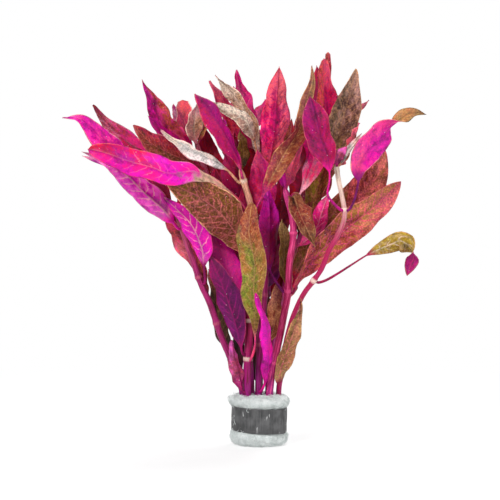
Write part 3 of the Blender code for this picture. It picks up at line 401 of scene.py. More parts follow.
SKINS = {
    "far_left": Skin("crimson", "rose", "magenta", "hot magenta", "pink magenta", 0.5, "salmon", 0.35,
        "plum", 0.3, 0.2, "peach", 0.6, "brown_right"),
    "left_front": Skin("rose", "pale peach", "hot magenta", "crimson", "hot magenta", -0.6, "crimson", 0.55,
        "pale pink", 0.3, 0.0, "salmon", 0.6, "brown_right", 0.3),
    "left_under": Skin("pink magenta", "lilac", "hot magenta", "hot magenta", "lilac", -0.5, "lilac", 0.7,
        "pale pink", 0.9, 0.0, "pale pink", 0.6, "olive_brown"),
    "low_left": Skin("rose", "salmon", "salmon", "salmon", "rose", 0.3, "pink", 0.6, "pale pink", 0.4, 0.2,
        "salmon", 0.5, "brown_right"),
    "mid_magenta": Skin("plum", "lilac", "hot magenta", "hot magenta", "pink magenta", 0.4, "plum", 0.4,
        "pale pink", 0.9, 0.1, "salmon", 0.4, "olive_brown"),
    "big_brown": Skin("rose", "brown", "brown", "olive", "olive", 0.5, "umber", 0.8, "salmon", 0.65, 0.55,
        "peach", 0.9, "mid_magenta"),
    "brown_crimson": Skin("crimson", "crimson", "brown", "russet", "crimson", 0.7, "umber", 0.6, "salmon",
        0.5, 0.5, "salmon", 0.6, "mid_magenta"),
    "dusty_rose": Skin("crimson", "crimson", "rose", "russet", "raspberry", 0.4, "pink magenta", 0.35,
        "pink", 0.2, 0.2, "russet", 0.6, "plum_right"),
    "plum_russet": Skin("crimson", "crimson", "plum", "pink magenta", "orange russet", 0.9, "pink magenta",
        0.5, "russet", 0.3, 0.2, "salmon", 0.5, "olive_brown"),
    "crimson_magenta": Skin("crimson", "crimson", "raspberry", "magenta", "pink magenta", 0.4, "plum", 0.3,
        "pink", 0.3, 0.2, "pink", 0.5, "brown_right"),
    "pale": Skin("peach", "white", "white", "cream", "pale peach", 0.3, "pale pink", 0.15, "dusky", 0.4, 0.2,
        "pale pink", 0.6, "pale"),
    "magenta_red": Skin("pink", "rose", "magenta", "plum", "crimson", -0.9, "violet", 0.45, "violet", 0.35,
        0.3, "salmon", 0.6, "olive_brown"),
    "tan_top": Skin("pink", "cream", "tan", "cream", "khaki", 0.3, "grey olive", 0.5, "cream", 0.8, 0.6,
        "cream", 0.9, "dusty_rose"),
    "red_top": Skin("maroon", "crimson", "crimson", "rose", "deep crimson", 0.3, "dusty rose", 0.5, "salmon",
        0.3, 0.3, "salmon", 0.6, "brown_right"),
    "pink_top": Skin("plum", "rose", "pink", "hot pink", "magenta", 0.5, "dusty rose", 0.4, "pale pink", 0.4,
        0.2, "pink", 0.5, "olive_brown"),
    "crimson_pink": Skin("crimson", "salmon", "hot pink", "rose", "salmon", 0.6, "salmon", 0.35, "raspberry",
        0.8, 0.3, "hot pink", 0.3, "brown_right"),
    "brown_twist": Skin("pink", "crimson", "russet", "grey olive", "dusty rose", -0.5, "brown", 0.5, "tan",
        0.6, 0.4, "tan", 0.6, "mid_magenta"),
    "crimson_top": Skin("maroon", "crimson", "crimson", "rose", "orange russet", -0.8, "dusty rose", 0.5,
        "hot pink", 0.5, 0.3, "salmon", 0.5, "brown_right"),
    "plum_right": Skin("magenta", "violet", "raspberry", "plum", "crimson", 0.8, "plum", 0.5, "violet", 0.5,
        0.3, "salmon", 0.6, "olive_brown"),
    "rose_right": Skin("pale pink", "pale pink", "raspberry", "rose", "plum", -0.5, "crimson", 0.5, "pink",
        0.4, 0.3, "pink", 0.4, "brown_right", 0.25),
    "dusky_top": Skin("russet", "olive", "dusky", "grey mauve", "grey olive", -0.7, "grey mauve", 0.5, "tan",
        0.5, 0.6, "tan", 0.7, "plum_right"),
    "magenta_right": Skin("violet", "rose", "pink magenta", "hot magenta", "pink", -0.6, "dusty rose", 0.4,
        "plum", 0.3, 0.2, "peach", 0.6, "tan_tip"),
    "tan_tip": Skin("rose", "rose", "tan", "khaki", "tan", 0.2, "russet", 0.4, "grey olive", 0.4, 0.3,
        "grey olive", 0.6, "magenta_right"),
    "brown_right": Skin("russet", "russet", "russet", "brown", "olive", 0.5, "salmon", 0.4, "salmon", 0.8,
        0.5, "rose", 0.7, "mid_magenta"),
    "olive_salmon": Skin("raspberry", "russet", "russet", "salmon", "olive", -0.6, "olive", 0.6, "pink",
        0.65, 0.5, "salmon", 0.8, "mid_magenta"),
    "olive_brown": Skin("crimson", "brown", "olive", "brown", "brown", 0.4, "umber", 0.5, "salmon", 0.5, 0.5,
        "russet", 0.6, "plum_right"),
    "yellow_olive": Skin("raspberry", "yellow olive", "yellow olive", "yellow olive", "olive", 0.5, "olive",
        0.6, "cream", 0.6, 0.3, "tan", 0.8, "droop_under"),
    "droop_under": Skin("pink", "raspberry", "magenta", "plum", "magenta", 0.3, "violet", 0.3, "pink", 0.4,
        0.2, "tan", 0.5, "yellow_olive"),
    "green_centre": Skin("pink", "olive", "green", "russet", "russet", 0.4, "brown", 0.55, "tan", 0.6, 0.4,
        "tan", 0.6, "mid_magenta"),
    "spike": Skin("magenta", "pink magenta", "hot magenta", "hot magenta", "magenta", 0.5, "plum", 0.2,
        "violet", 0.3, 0.1, "pink", 0.3, "brown_right"),
    "violet_low": Skin("plum", "violet", "violet", "plum", "deep violet", 0.6, "deep violet", 0.8, "magenta",
        0.3, 0.2, "rose", 0.6, "dark_olive"),
    "violet_high": Skin("plum", "violet", "magenta", "magenta", "plum", -0.5, "deep violet", 0.35, "plum",
        0.3, 0.2, "rose", 0.5, "dark_olive"),
    "dusky_left": Skin("violet", "charcoal", "grey olive", "peach", "umber", 0.5, "charcoal", 0.6, "tan",
        0.3, 0.2, "dusty rose", 0.7, "plum_right"),
    "violet_small": Skin("plum", "plum", "dusty rose", "lilac", "raspberry", 0.3, "lilac", 0.4, "pink", 0.4,
        0.2, "dusty rose", 0.6, "dark_olive"),
    "brown_rose": Skin("raspberry", "brown", "russet", "dusty rose", "dusky", 0.3, "tan", 0.5, "tan", 0.5,
        0.5, "tan", 0.7, "plum_right"),
    "khaki": Skin("olive", "grey olive", "olive", "khaki", "umber", 0.5, "umber", 0.5, "tan", 0.5, 0.4,
        "khaki", 0.7, "plum_right"),
    "dark_olive": Skin("plum", "umber", "russet", "brown", "umber", 0.5, "charcoal", 0.5, "tan", 0.55, 0.4,
        "tan", 0.7, "violet_high"),
    "violet_centre": Skin("violet", "violet", "raspberry", "hot magenta", "magenta", -0.5, "deep violet",
        0.6, "plum", 0.3, 0.2, "plum", 0.4, "dark_olive"),
    "deep_crimson": Skin("maroon", "deep crimson", "raspberry", "crimson", "maroon", 0.5, "maroon", 0.5,
        "crimson", 0.3, 0.3, "rose", 0.5, "brown_right"),
    "bright_crimson": Skin("crimson", "crimson", "crimson", "rose", "magenta", 0.3, "dusty rose", 0.5,
        "magenta", 0.3, 0.3, "rose", 0.5, "brown_right"),
    # The maroon skin is partly painted shade: small leaves deep in the bunch, coloured dark to stand for the
    # shade between the leaves.
    "maroon": Skin("maroon", "maroon", "deep crimson", "crimson", "umber", 0.4, "deep crimson", 0.5,
        "crimson", 0.4, 0.3, "crimson", 0.4, "dark_olive"),
    "dark_violet": Skin("deep violet", "deep violet", "charcoal", "dusky", "maroon", 0.4, "maroon", 0.5,
        "plum", 0.2, 0.2, "dusty rose", 0.5, "dark_olive"),
    "pink_small": Skin("pink", "pink", "hot pink", "pink", "rose", 0.4, "magenta", 0.4, "pale pink", 0.5,
        0.2, "pink", 0.4, "olive_brown"),
    "salmon_pink": Skin("pink", "pink", "salmon", "rose", "pink", 0.4, "hot pink", 0.3, "pink", 0.3, 0.2,
        "salmon", 0.4, "olive_brown"),
    "olive_orange": Skin("russet", "russet", "olive", "orange russet", "russet", 0.5, "green", 0.4, "salmon",
        0.5, 0.5, "salmon", 0.6, "plum_right"),
    "tan_low": Skin("raspberry", "khaki", "olive", "khaki", "tan", 0.5, "dusky", 0.4, "salmon", 0.7, 0.4,
        "tan", 0.8, "plum_right"),
    "grey_mauve": Skin("pale pink", "pale pink", "peach", "pale pink", "pale pink", -0.5, "grey mauve", 0.4,
        "cream", 0.8, 0.3, "cream", 0.9, "plum_right"),
    "crimson_rose": Skin("crimson", "crimson", "rose", "salmon", "rose", 0.4, "crimson", 0.4, "salmon", 0.5,
        0.3, "cream", 0.8, "brown_right"),
    "pale_bend": Skin("peach", "tan", "cream", "cream", "brown", -0.8, "grey mauve", 0.6, "cream", 0.8, 0.5,
        "cream", 0.9, "pale"),
}

# A stem's colours at its foot, middle and top, the colour of its rings and of the streaks along it, which
# are partly its own stripes and partly painted highlights and shade along its sides.
StemSkin = namedtuple("StemSkin", "foot middle tip ring streak")

STEM_SKINS = {
    "stem_dark": StemSkin("violet", "plum", "dusty rose", "dusty rose", "maroon"),
    "stem_purple": StemSkin("violet", "raspberry", "peach", "cream", "maroon"),
    "stem_red": StemSkin("violet", "raspberry", "plum", "pink", "pink"),
    "stem_pink": StemSkin("plum", "raspberry", "cream", "cream", "deep crimson"),
}


class Field:
    """What a socket of a node tree puts out. Ordinary arithmetic on it adds Math nodes to its tree."""

    def __init__(self, socket):
        self.socket = socket
        self.tree = socket.id_data

    def maths(self, operation, *others):
        """What a Math node makes of this field and the others, or a Vector Math node if one is a vector."""
        terms = [self, *others]
        vectors = [is_vector(term) for term in terms]
        made = self.tree.nodes.new("ShaderNodeVectorMath" if any(vectors) else "ShaderNodeMath")
        sockets = made.inputs[:]
        if operation == "MULTIPLY" and any(vectors) and not all(vectors):
            operation = "SCALE"
            terms.sort(key=is_vector, reverse=True)
            sockets = [made.inputs[0], made.inputs[3]]
        made.operation = operation
        for socket, term in zip(sockets, terms):
            feed(socket, term)
        return Field(made.outputs[0])

    __add__ = __radd__ = partialmethod(maths, "ADD")
    __mul__ = __rmul__ = partialmethod(maths, "MULTIPLY")
    __sub__ = partialmethod(maths, "SUBTRACT")
    __truediv__ = partialmethod(maths, "DIVIDE")
    __pow__ = partialmethod(maths, "POWER")
    __abs__ = partialmethod(maths, "ABSOLUTE")

    def __rsub__(self, other):
        return self * -1 + other

    def rise(self, low, high):
        """0 below low and 1 above high, with a smooth rise between them."""
        ends = {"Value": self, "From Min": low, "From Max": high}
        return add_node(self.tree, "ShaderNodeMapRange", ends, "Result", interpolation_type="SMOOTHSTEP")

    def bump_at(self, width):
        """1 where the field is 0, falling off smoothly to nothing over the width on each side."""
        return 1 - abs(self).rise(0, width)

    def other(self, output):
        """Another output of the same node."""
        return Field(self.socket.node.outputs[output])

    def through(self, kind, inputs=None, output=0, **settings):
        """What a geometry node makes of this geometry."""
        return add_node(self.tree, "GeometryNode" + kind, {0: self, **(inputs or {})}, output, **settings)

    def store(self, label, value, kind=None, domain="POINT"):
        """This geometry with a value kept on it as a named attribute."""
        kind = kind or ("FLOAT_VECTOR" if is_vector(value) else "FLOAT")
        return self.through("StoreNamedAttribute", {"Name": label, "Value": value}, data_type=kind,
                            domain=domain)


def is_vector(term):
    return term.socket.type == "VECTOR" if isinstance(term, Field) else isinstance(term, tuple)


def feed(socket, value):
    """Links a field to a socket, or sets the socket's value."""
    if isinstance(value, Field):
        value.tree.links.new(value.socket, socket)
    else:
        socket.default_value = value


def set_inputs(node, values):
    """Feeds a node's inputs, each with a value or a field."""
    for name, value in values.items():
        feed(node.inputs[name], value)


def add_node(tree, kind, inputs=None, output=0, **settings):
    """A new node with its settings and inputs: one of its outputs, as a field."""
    made = tree.nodes.new(kind)
    for name, value in settings.items():
        setattr(made, name, value)
    set_inputs(made, inputs or {})
    return Field(made.outputs[output])


def new_tree(name, kind, inputs, outputs):
    """A node group, its sockets given by kind: its tree, its inputs as fields, and its output node."""
    tree = bpy.data.node_groups.new(name, kind)
    for way, sockets in (("OUTPUT", outputs), ("INPUT", inputs)):
        for socket_kind, labels in sockets.items():
            for label in labels:
                tree.interface.new_socket(label, in_out=way, socket_type="NodeSocket" + socket_kind)
    enter = tree.nodes.new("NodeGroupInput")
    given = {label: Field(enter.outputs[label]) for labels in inputs.values() for label in labels}
    return tree, given, tree.nodes.new("NodeGroupOutput")


def vector(x, y, z):
    """A vector of three numbers, of which one at least is a field."""
    tree = next(term.tree for term in (x, y, z) if isinstance(term, Field))
    return add_node(tree, "ShaderNodeCombineXYZ", {"X": x, "Y": y, "Z": z})


def noise(place, scale=1.0, detail=2.0):
    return add_node(place.tree, "ShaderNodeTexNoise", {"Vector": place, "Scale": scale, "Detail": detail})


def cells(place, scale, feature="F1", output="Distance"):
    inputs = {"Vector": place, "Scale": scale}
    return add_node(place.tree, "ShaderNodeTexVoronoi", inputs, output, feature=feature)


def blend(share, first, second):
    """A colour between two others."""
    return add_node(share.tree, "ShaderNodeMix", {0: share, 6: first, 7: second}, 2, data_type="RGBA")


def together(*parts):
    """Several geometries as one."""
    both = add_node(parts[0].tree, "GeometryNodeJoinGeometry")
    for part in parts:
        feed(both.socket.node.inputs[0], part)
    return both


def stored(tree, label, kind="FLOAT"):
    """A named attribute, in a geometry tree."""
    return add_node(tree, "GeometryNodeInputNamedAttribute", {"Name": label}, data_type=kind)


def attribute(tree, label, output="Fac"):
    """A named attribute, in a material."""
    return add_node(tree, "ShaderNodeAttribute", output=output, attribute_name=label)


def circle(tree, sides):
    return add_node(tree, "GeometryNodeCurvePrimitiveCircle", {"Resolution": sides})


def shaded(mixed, hue, saturation, value):
    """A colour, with its hue, saturation and lightness changed."""
    return add_node(mixed.tree, "ShaderNodeHueSaturation", {
        "Hue": hue, "Saturation": saturation, "Value": value, "Fac": 1.0, "Color": mixed})


def bumps(height, strength, distance):
    """A normal that follows a height, over a distance in millimetres."""
    return add_node(height.tree, "ShaderNodeBump", {
        "Height": height, "Strength": strength, "Distance": distance * MM})


def colour(name):
    """One of the named colours, as a shader takes it."""
    def to_light(level):
        share = level / 255
        return share / 12.92 if share <= 0.04045 else ((share + 0.055) / 1.055) ** 2.4
    return (*(to_light(level) for level in COLOURS[name]), 1)


def grey(level, blue=None):
    """A grey, with a tint of blue where its blue is given."""
    return (level, level, blue or level, 1)


def unit(vectors):
    return vectors / np.linalg.norm(vectors, axis=-1, keepdims=True)


def placed(point):
    """Where a point (x, z, depth) of the front view is, in millimetres: its sight line, cut at its depth."""
    x, z, depth = point
    seen = np.array([x, 0.0, z])
    return EYE + (seen - EYE) * (depth - EYE[1]) / -EYE[1]


def smooth_line(points, count):
    """count points, evenly spaced, on the smooth curve through the points given."""
    points = np.array(points, float)
    knots = np.vstack([2 * points[0] - points[1], points, 2 * points[-1] - points[-2]])
    fine = []
    for before, start, end, after in zip(knots, knots[1:], knots[2:], knots[3:]):
        for t in np.linspace(0, 1, LINE_STEPS, endpoint=False):
            fine.append(0.5 * (2 * start + (end - before) * t
                               + (2 * before - 5 * start + 4 * end - after) * t**2
                               + (3 * start - before - 3 * end + after) * t**3))
    fine = np.array(fine + [points[-1]])
    run = run_along(fine)
    even = np.linspace(0, run[-1], count)
    return np.stack([np.interp(even, run, fine[:, k]) for k in range(3)], axis=1)


def run_along(line):
    """How far each point of a line is from its start, along it."""
    return np.concatenate([[0], np.cumsum(np.linalg.norm(np.diff(line, axis=0), axis=1))])


def stem_line(stem, count=LINE_POINTS):
    """The stem's centre line, from its cut end to its top."""
    points = [placed(point) for point in stem.route]
    points[0][2] = STEM_FOOT
    return smooth_line(points, count)


def seen_heights(line):
    """How high each point of a line is seen from the front."""
    return EYE[2] + (line[:, 2] - EYE[2]) * -EYE[1] / (line[:, 1] - EYE[1])


def stem_at(stem, height):
    """The stem's centre, direction and radius at a height seen from the front, or at its top."""
    line = stem_line(stem)
    if height is None:
        return line[-1], unit(line[-1] - line[-2]), stem.top_radius
    i = int(np.argmin(abs(seen_heights(line) - height)))
    share = i / (len(line) - 1)
    return line[i], unit(line[i + 1] - line[i]), stem.radius + (stem.top_radius - stem.radius) * share


def new_object(name, data):
    """An object of the scene, at the origin."""
    made = bpy.data.objects.new(name, data)
    bpy.context.scene.collection.objects.link(made)
    return made


def new_guide(name, line, attributes):
    """A chain of edges along a line, in millimetres, that carries attributes for a node tree to read."""
    data = bpy.data.meshes.new(name)
    data.from_pydata([tuple(point * MM) for point in line], [(i, i + 1) for i in range(len(line) - 1)], [])
    for label, values in attributes.items():
        values = np.asarray(values, np.float32)
        kind, entry = ("FLOAT_VECTOR", "vector") if values.ndim == 2 else ("FLOAT", "value")
        data.attributes.new(label, kind, "POINT").data.foreach_set(entry, values.ravel())
    return new_object(name, data)


def grown(guide, tree, values):
    """The plain mesh that a node tree makes of a guide, as a new object, which takes the guide's name."""
    modifier = guide.modifiers.new(tree.name, "NODES")
    modifier.node_group = tree
    for item in tree.interface.items_tree:
        if item.in_out == "INPUT" and item.name in values:
            modifier[item.identifier] = values[item.name]
    bpy.context.view_layer.update()
    graph = bpy.context.evaluated_depsgraph_get()
    data = bpy.data.meshes.new_from_object(guide.evaluated_get(graph))
    name = guide.name
    bpy.data.objects.remove(guide)
    data.name = name
    return new_object(name, data)


def joined(name, pieces):
    """Several objects as one, with the name given."""
    pieces[0].name = name
    with bpy.context.temp_override(active_object=pieces[0], object=pieces[0], selected_objects=pieces,
                                   selected_editable_objects=pieces):
        bpy.ops.object.join()
    pieces[0].data.name = name
    return pieces[0]


def leaf_tree():
    """The tree that grows a blade round its midrib.

    A grid gets a row of points for each point of the guide. It is laid across the midrib twice, once for
    each side of the leaf, and the two sheets are sewn together at the margins.
    """
    tree, given, leave = new_tree("leaf_blade", "GeometryNodeTree", {
        "Geometry": ["Guide"], "Int": ["Points Across"],
        "Float": ["Rib Width", "Rib Height", "Fold", "Wave Height", "Wave Count", "Curl", "Quilt Height",
                  "Vein Spacing", "Raggedness", "Twist", "Seen Right", "Seed"],
        "Material": ["Upper Skin", "Under Skin"]}, {"Geometry": ["Leaf"]})
    guide, across_count, seed = given["Guide"], given["Points Across"], given["Seed"]
    stations = guide.through("AttributeDomainSize", output="Point Count", component="MESH")
    marked = add_node(tree, "GeometryNodeMeshGrid", {"Vertices X": stations, "Vertices Y": across_count})
    index = add_node(tree, "GeometryNodeInputIndex")
    station = (index / across_count).maths("FLOOR")
    step = (index - station * across_count) / (across_count - 1) * 2 - 1
    side = step.maths("SIGN")
    across_share = side * abs(step) ** 1.15

    def at_station(value, kind="FLOAT"):
        """What a value of the guide is at this point's station."""
        return guide.through("SampleIndex", {"Value": value, "Index": station}, data_type=kind)

    midrib = at_station(add_node(tree, "GeometryNodeInputPosition"), "FLOAT_VECTOR")
    across, upper = (at_station(stored(tree, label, "FLOAT_VECTOR"), "FLOAT_VECTOR")
                     for label in ("across", "upper"))
    thick, share, run, blade, half = (at_station(stored(tree, label))
                                      for label in ("thick", "share", "run", "blade", "half"))
    uneven = noise(vector(share * 6, side * 3, seed), detail=3.0) - 0.5
    half = half * (1 + uneven * given["Raggedness"])
    out = abs(across_share)
    width = out * half

    # The middle of the blade: folded along the midrib, waved at the margins and quilted between veins.
    turn = given["Fold"] * (share * math.pi).maths("SINE")
    phase = share * given["Wave Count"] * 2 * math.pi + side * 0.9 + seed * 2.7
    swell = 0.5 + noise(vector(share * 4, side, seed + 9))
    wave = phase.maths("SINE") * swell * given["Wave Height"] * out**2 * blade
    twist = (noise(vector(share * 2.6, seed, 3.0)) - 0.5) * given["Twist"]
    curl = noise(vector(share * 5, side * 2, seed + 4)) - 0.42
    curl = given["Curl"] * out.rise(0.72, 1.0) * blade * curl
    crumple = (noise(midrib * 70 + vector(width * 90, seed, side)) - 0.5) * blade
    vein_share = ((run - width * 1.1) / given["Vein Spacing"] + side * 0.25).maths("FRACT")
    quilt = (vein_share * math.pi).maths("SINE") * out.rise(0, 0.25) * (1 - out.rise(0.8, 1.0)) * blade
    lift = width * turn.maths("SINE") * out**0.3 + wave + curl + crumple * given["Wave Height"]
    lift = lift + width * side * twist
    middle = midrib + across * (width * side * turn.maths("COSINE"))
    middle = middle + upper * (lift + (quilt - 0.5) * given["Quilt Height"])
    rib = (width / given["Rib Width"]).bump_at(1.0) * given["Rib Height"] * (1 - share * 0.6) * blade
    body = thick * (1 - out**2).maths("MAXIMUM", 0).maths("SQRT")

    millimetres = vector(width * side * 1000, run * 1000, (half - width) * 1000)
    for label, value in (("blade_mm", millimetres), ("share", share), ("blade", blade), ("seed", seed),
                         ("across", across_share * given["Seen Right"])):
        marked = marked.store(label, value)

    def sheet(position, is_upper):
        """One side of the leaf, marked as upper or under."""
        moved = marked.through("SetPosition", {"Position": position})
        return moved.store("upper_side", is_upper, "BOOLEAN", "FACE")

    upper_sheet = sheet(middle + upper * (body - rib * 0.35), True)
    under_sheet = sheet(middle - upper * (body + rib), False).through("FlipFaces")
    sewn = together(under_sheet, upper_sheet).through("MergeByDistance", {"Distance": SEWING_DISTANCE * MM})
    whole = sewn.through("SetShadeSmooth").through("RealizeInstances")
    done = whole.through("SetMaterial", {"Material": given["Under Skin"]})
    feed(leave.inputs[0], done.through("SetMaterial", {
        "Selection": stored(tree, "upper_side", "BOOLEAN"), "Material": given["Upper Skin"]}))
    return tree


def stem_tree():
    """The tree that grows a stem round its centre line, with shallow furrows along it."""
    tree, given, leave = new_tree("stem", "GeometryNodeTree", {
        "Geometry": ["Guide"], "Int": ["Sides"], "Float": ["Furrow Depth", "Seed"], "Material": ["Skin"]},
        {"Geometry": ["Stem"]})
    around = add_node(tree, "GeometryNodeInputIndex") / given["Sides"]
    tube = given["Guide"].through("MeshToCurve").through("CurveToMesh", {
        "Profile Curve": circle(tree, given["Sides"]).store("around", around),
        "Scale": stored(tree, "radius_m"), "Fill Caps": True})
    place = add_node(tree, "GeometryNodeInputPosition")
    furrow = noise(place * (900.0, 900.0, 110.0) + vector(given["Seed"], 0.0, 0.0)) - 0.5
    moved = tube.through("SetPosition", {
        "Offset": add_node(tree, "GeometryNodeInputNormal") * (furrow * given["Furrow Depth"])})
    whole = moved.store("seed", given["Seed"]).through("SetShadeSmooth").through("RealizeInstances")
    feed(leave.inputs[0], whole.through("SetMaterial", {"Material": given["Skin"]}))
    return tree


def wool_tree():
    """The tree that makes a turned solid into a roll of wool: lumps, and strands that lie over them."""
    tree, given, leave = new_tree("wool", "GeometryNodeTree", {
        "Geometry": ["Body"], "Int": ["Seed"], "Material": ["Skin"],
        "Float": ["Lump Height", "Lump Size", "Strands", "Strand Length", "Strand Radius"]},
        {"Geometry": ["Wool"]})
    place = add_node(tree, "GeometryNodeInputPosition")
    lumps = noise(place * given["Lump Size"] ** -1, detail=4.0) - 0.45
    body = given["Body"].through("SetPosition", {
        "Offset": add_node(tree, "GeometryNodeInputNormal") * (lumps * given["Lump Height"])})
    points = body.through("DistributePointsOnFaces", {"Density": given["Strands"], "Seed": given["Seed"]})
    arc = add_node(tree, "GeometryNodeCurveQuadraticBezier", {
        "Resolution": 5, "Start": (-0.5, 0.0, -0.05), "Middle": (0.0, 0.45, 0.32), "End": (0.5, 0.0, -0.05)})
    strand = arc.through("CurveToMesh", {
        "Profile Curve": circle(tree, 3), "Scale": given["Strand Radius"] / given["Strand Length"],
        "Fill Caps": True})
    spin = add_node(tree, "FunctionNodeRandomValue", {
        0: (-0.25, -0.25, 0.0), 1: (0.25, 0.25, TURN), "Seed": given["Seed"]}, data_type="FLOAT_VECTOR")
    turned = add_node(tree, "FunctionNodeRotateRotation", {
        "Rotation": points.other("Rotation"), "Rotate By": spin}, rotation_space="LOCAL")
    length = add_node(tree, "FunctionNodeRandomValue", {2: 0.5, 3: 1.3}, 1, data_type="FLOAT")
    strands = points.through("InstanceOnPoints", {
        "Instance": strand, "Rotation": turned, "Scale": length * given["Strand Length"]})
    whole = together(strands, body).through("RealizeInstances")
    laid = whole.through("SetPosition", {"Position": place.maths("MAXIMUM", (-1.0, -1.0, 0.0))})
    feed(leave.inputs[0], laid.through("SetShadeSmooth").through("SetMaterial", {"Material": given["Skin"]}))
    return tree


def leaf_skin_group():
    """The colours, veins and relief of one side of a leaf, from its place on the blade."""
    tree, given, leave = new_tree("leaf_skin", "ShaderNodeTree", {
        "Color": ["Stalk", "Foot", "Middle", "Tip", "Side", "Patch", "Vein", "Rim"],
        "Float": ["Lean", "Patches", "Veins", "Net", "Rims", "Reach"]},
        {"Color": ["Colour"], "Float": ["Height", "Roughness"]})
    x = add_node(tree, "ShaderNodeSeparateXYZ", {"Vector": attribute(tree, "blade_mm", "Vector")})
    run, margin = x.other("Y"), x.other("Z")
    share, across, seed, blade = (
        attribute(tree, label) for label in ("share", "across", "seed", "blade"))
    flat = vector(x, run, seed * 17)
    drawn_out = vector(x, run * 0.45, seed * 17)
    broad = noise(drawn_out, 0.14)
    medium = noise(drawn_out, 0.45, 4.0)
    fine = noise(flat, 1.1, 5.0)
    broad_swing, medium_swing, fine_swing = broad - 0.5, medium - 0.5, fine - 0.5
    blotches = noise(flat + (40.0, 0.0, 0.0), 0.8, 3.0)
    shift = vector(medium, noise(flat, 0.5), 0.0) * 5

    # Colours from foot to tip, then over one half, which is partly the leaf's own tone and partly painted
    # sheen and light on that half, then in patches.
    drift = share + broad_swing * 0.6 + medium_swing * 0.3
    past_foot = drift.rise(given["Reach"], given["Reach"] + 0.25)
    mixed = blend(past_foot, given["Foot"], given["Middle"])
    mixed = blend(drift.rise(0.6, 0.88), mixed, given["Tip"])
    lean = given["Lean"]
    half = (across * lean.maths("SIGN") + medium_swing * 1.2 + broad_swing * 1.5).rise(-0.15, 0.4)
    mixed = blend(half * abs(lean) * past_foot, mixed, given["Side"])
    patches = (medium + broad_swing * 0.8).rise(0.42, 0.62) * given["Patches"]
    patches = patches.maths("MAXIMUM", blotches.rise(0.54, 0.62) * given["Patches"] * 0.6)
    mixed = blend(patches * past_foot, mixed, given["Patch"])
    on_blade = blade.rise(0.2, 0.9)
    mixed = blend(on_blade, given["Stalk"], mixed)

    # The midrib, its side veins and the network between them.
    out = abs(x)
    bend = medium_swing * 4 + broad_swing * 6
    order = (run - out * 0.8 - out**2 * 0.06 + bend) / VEIN_SPACING + x.maths("SIGN") * 0.22
    from_vein = abs(order.maths("FRACT") - 0.5) * VEIN_SPACING
    side_veins = from_vein.bump_at(0.4 + margin * 0.08) * (1 - share.rise(0.8, 1.0))
    side_veins = side_veins * margin.rise(0.3, 2.5) * medium.rise(0.3, 0.5)
    midrib = out.bump_at(0.8 - share * 0.4)
    net, small_net = (cells(flat + shift, scale, "DISTANCE_TO_EDGE").bump_at(0.13) for scale in (0.2, 0.55))
    nets = net.maths("MAXIMUM", small_net * 0.3) * given["Net"]
    veins = midrib.maths("MAXIMUM", side_veins * 0.9).maths("MAXIMUM", nets)
    mixed = blend(veins * given["Veins"] * on_blade, mixed, given["Vein"])

    # The margin, tones that come and go, partly painted light and shade of folds, painted shade along the
    # midrib, the grain of the cells, and white specks that are painted glints.
    rim = (1 - margin.rise(0.1, 0.3 + medium * 0.8)) * on_blade
    mixed = blend(rim * given["Rims"] * broad.rise(0.2, 0.55), mixed, given["Rim"])
    grain = noise(flat, 4.5)
    # Lightness: partly the leaf's own mottling, partly painted light and shade of the folds drawn out along
    # the blade.
    lightness = 1 + broad_swing * 1.3 + medium_swing * 2.0 + (grain - 0.5) * 0.6
    lightness = lightness + fine_swing * (given["Net"] * 3 + 0.7)
    # Painted shade: the blade is darker within a few millimetres of its midrib, where it folds.
    lightness = lightness * (0.8 + out.rise(0, 3.5) * 0.2)
    mixed = shaded(mixed, 0.5 + broad_swing * 0.05 + fine_swing * 0.08, 1.05, lightness)
    # Painted glints: white specks scattered over the blade, standing for highlights on droplets, and raised
    # a little in the relief.
    chance = cells(flat, 0.75, output="Color")
    painted_glint = (1 - chance.other("Distance").rise(0.1, 0.17)) * chance.rise(0.8, 0.82)
    mixed = blend(painted_glint * 0.6, mixed, colour("white"))

    relief = medium * 1.2 + fine * 0.9 + grain * 0.25 - side_veins * 0.5 - nets * 0.5 + painted_glint
    set_inputs(leave, {"Colour": mixed, "Height": relief, "Roughness": 0.4 + medium * 0.25})
    return tree


def stem_skin_group():
    """The colours and relief of a stem, from how far along and around it a point is."""
    tree, given, leave = new_tree("stem_skin", "ShaderNodeTree", {
        "Color": ["Foot", "Middle", "Tip", "Ring", "Streak"]},
        {"Color": ["Colour"], "Float": ["Height", "Roughness"]})
    share, ring, run, around, seed = (
        attribute(tree, label) for label in ("share", "ring", "run_mm", "around", "seed"))
    angle = around * 2 * math.pi
    x, y = angle.maths("COSINE") * 2, angle.maths("SINE") * 2
    streaks = noise(vector(x, y, run * 0.08 + seed), 1.5, 3.0)
    fine = noise(vector(x, y, run + seed), 2.2, 3.0)
    drift = share + (streaks - 0.5) * 0.3
    mixed = blend(drift.rise(0.1, 0.45), given["Foot"], given["Middle"])
    mixed = blend(drift.rise(0.7, 0.95), mixed, given["Tip"])
    # Streaks: partly the stem's own stripes, partly painted highlights and shade along its sides.
    mixed = blend(streaks.rise(0.46, 0.62) * 0.75, mixed, given["Streak"])
    mixed = blend(ring.rise(0.3, 0.9) * 0.7, mixed, given["Ring"])
    set_inputs(leave, {"Colour": shaded(mixed, 0.5, 1.0, 0.6 + fine * 0.8),
                       "Height": streaks + fine * 0.4, "Roughness": 0.35 + fine * 0.25})
    return tree


def new_material(name):
    """A new material: itself, its tree and its main shader."""
    made = bpy.data.materials.new(name)
    made.use_nodes = True
    return made, made.node_tree, made.node_tree.nodes["Principled BSDF"]


def mix_shaders(tree, share, first, second):
    """Gives a material's surface a mixture of two shaders."""
    both = add_node(tree, "ShaderNodeMixShader", {0: share, 1: first, 2: second})
    feed(tree.nodes["Material Output"].inputs["Surface"], both)


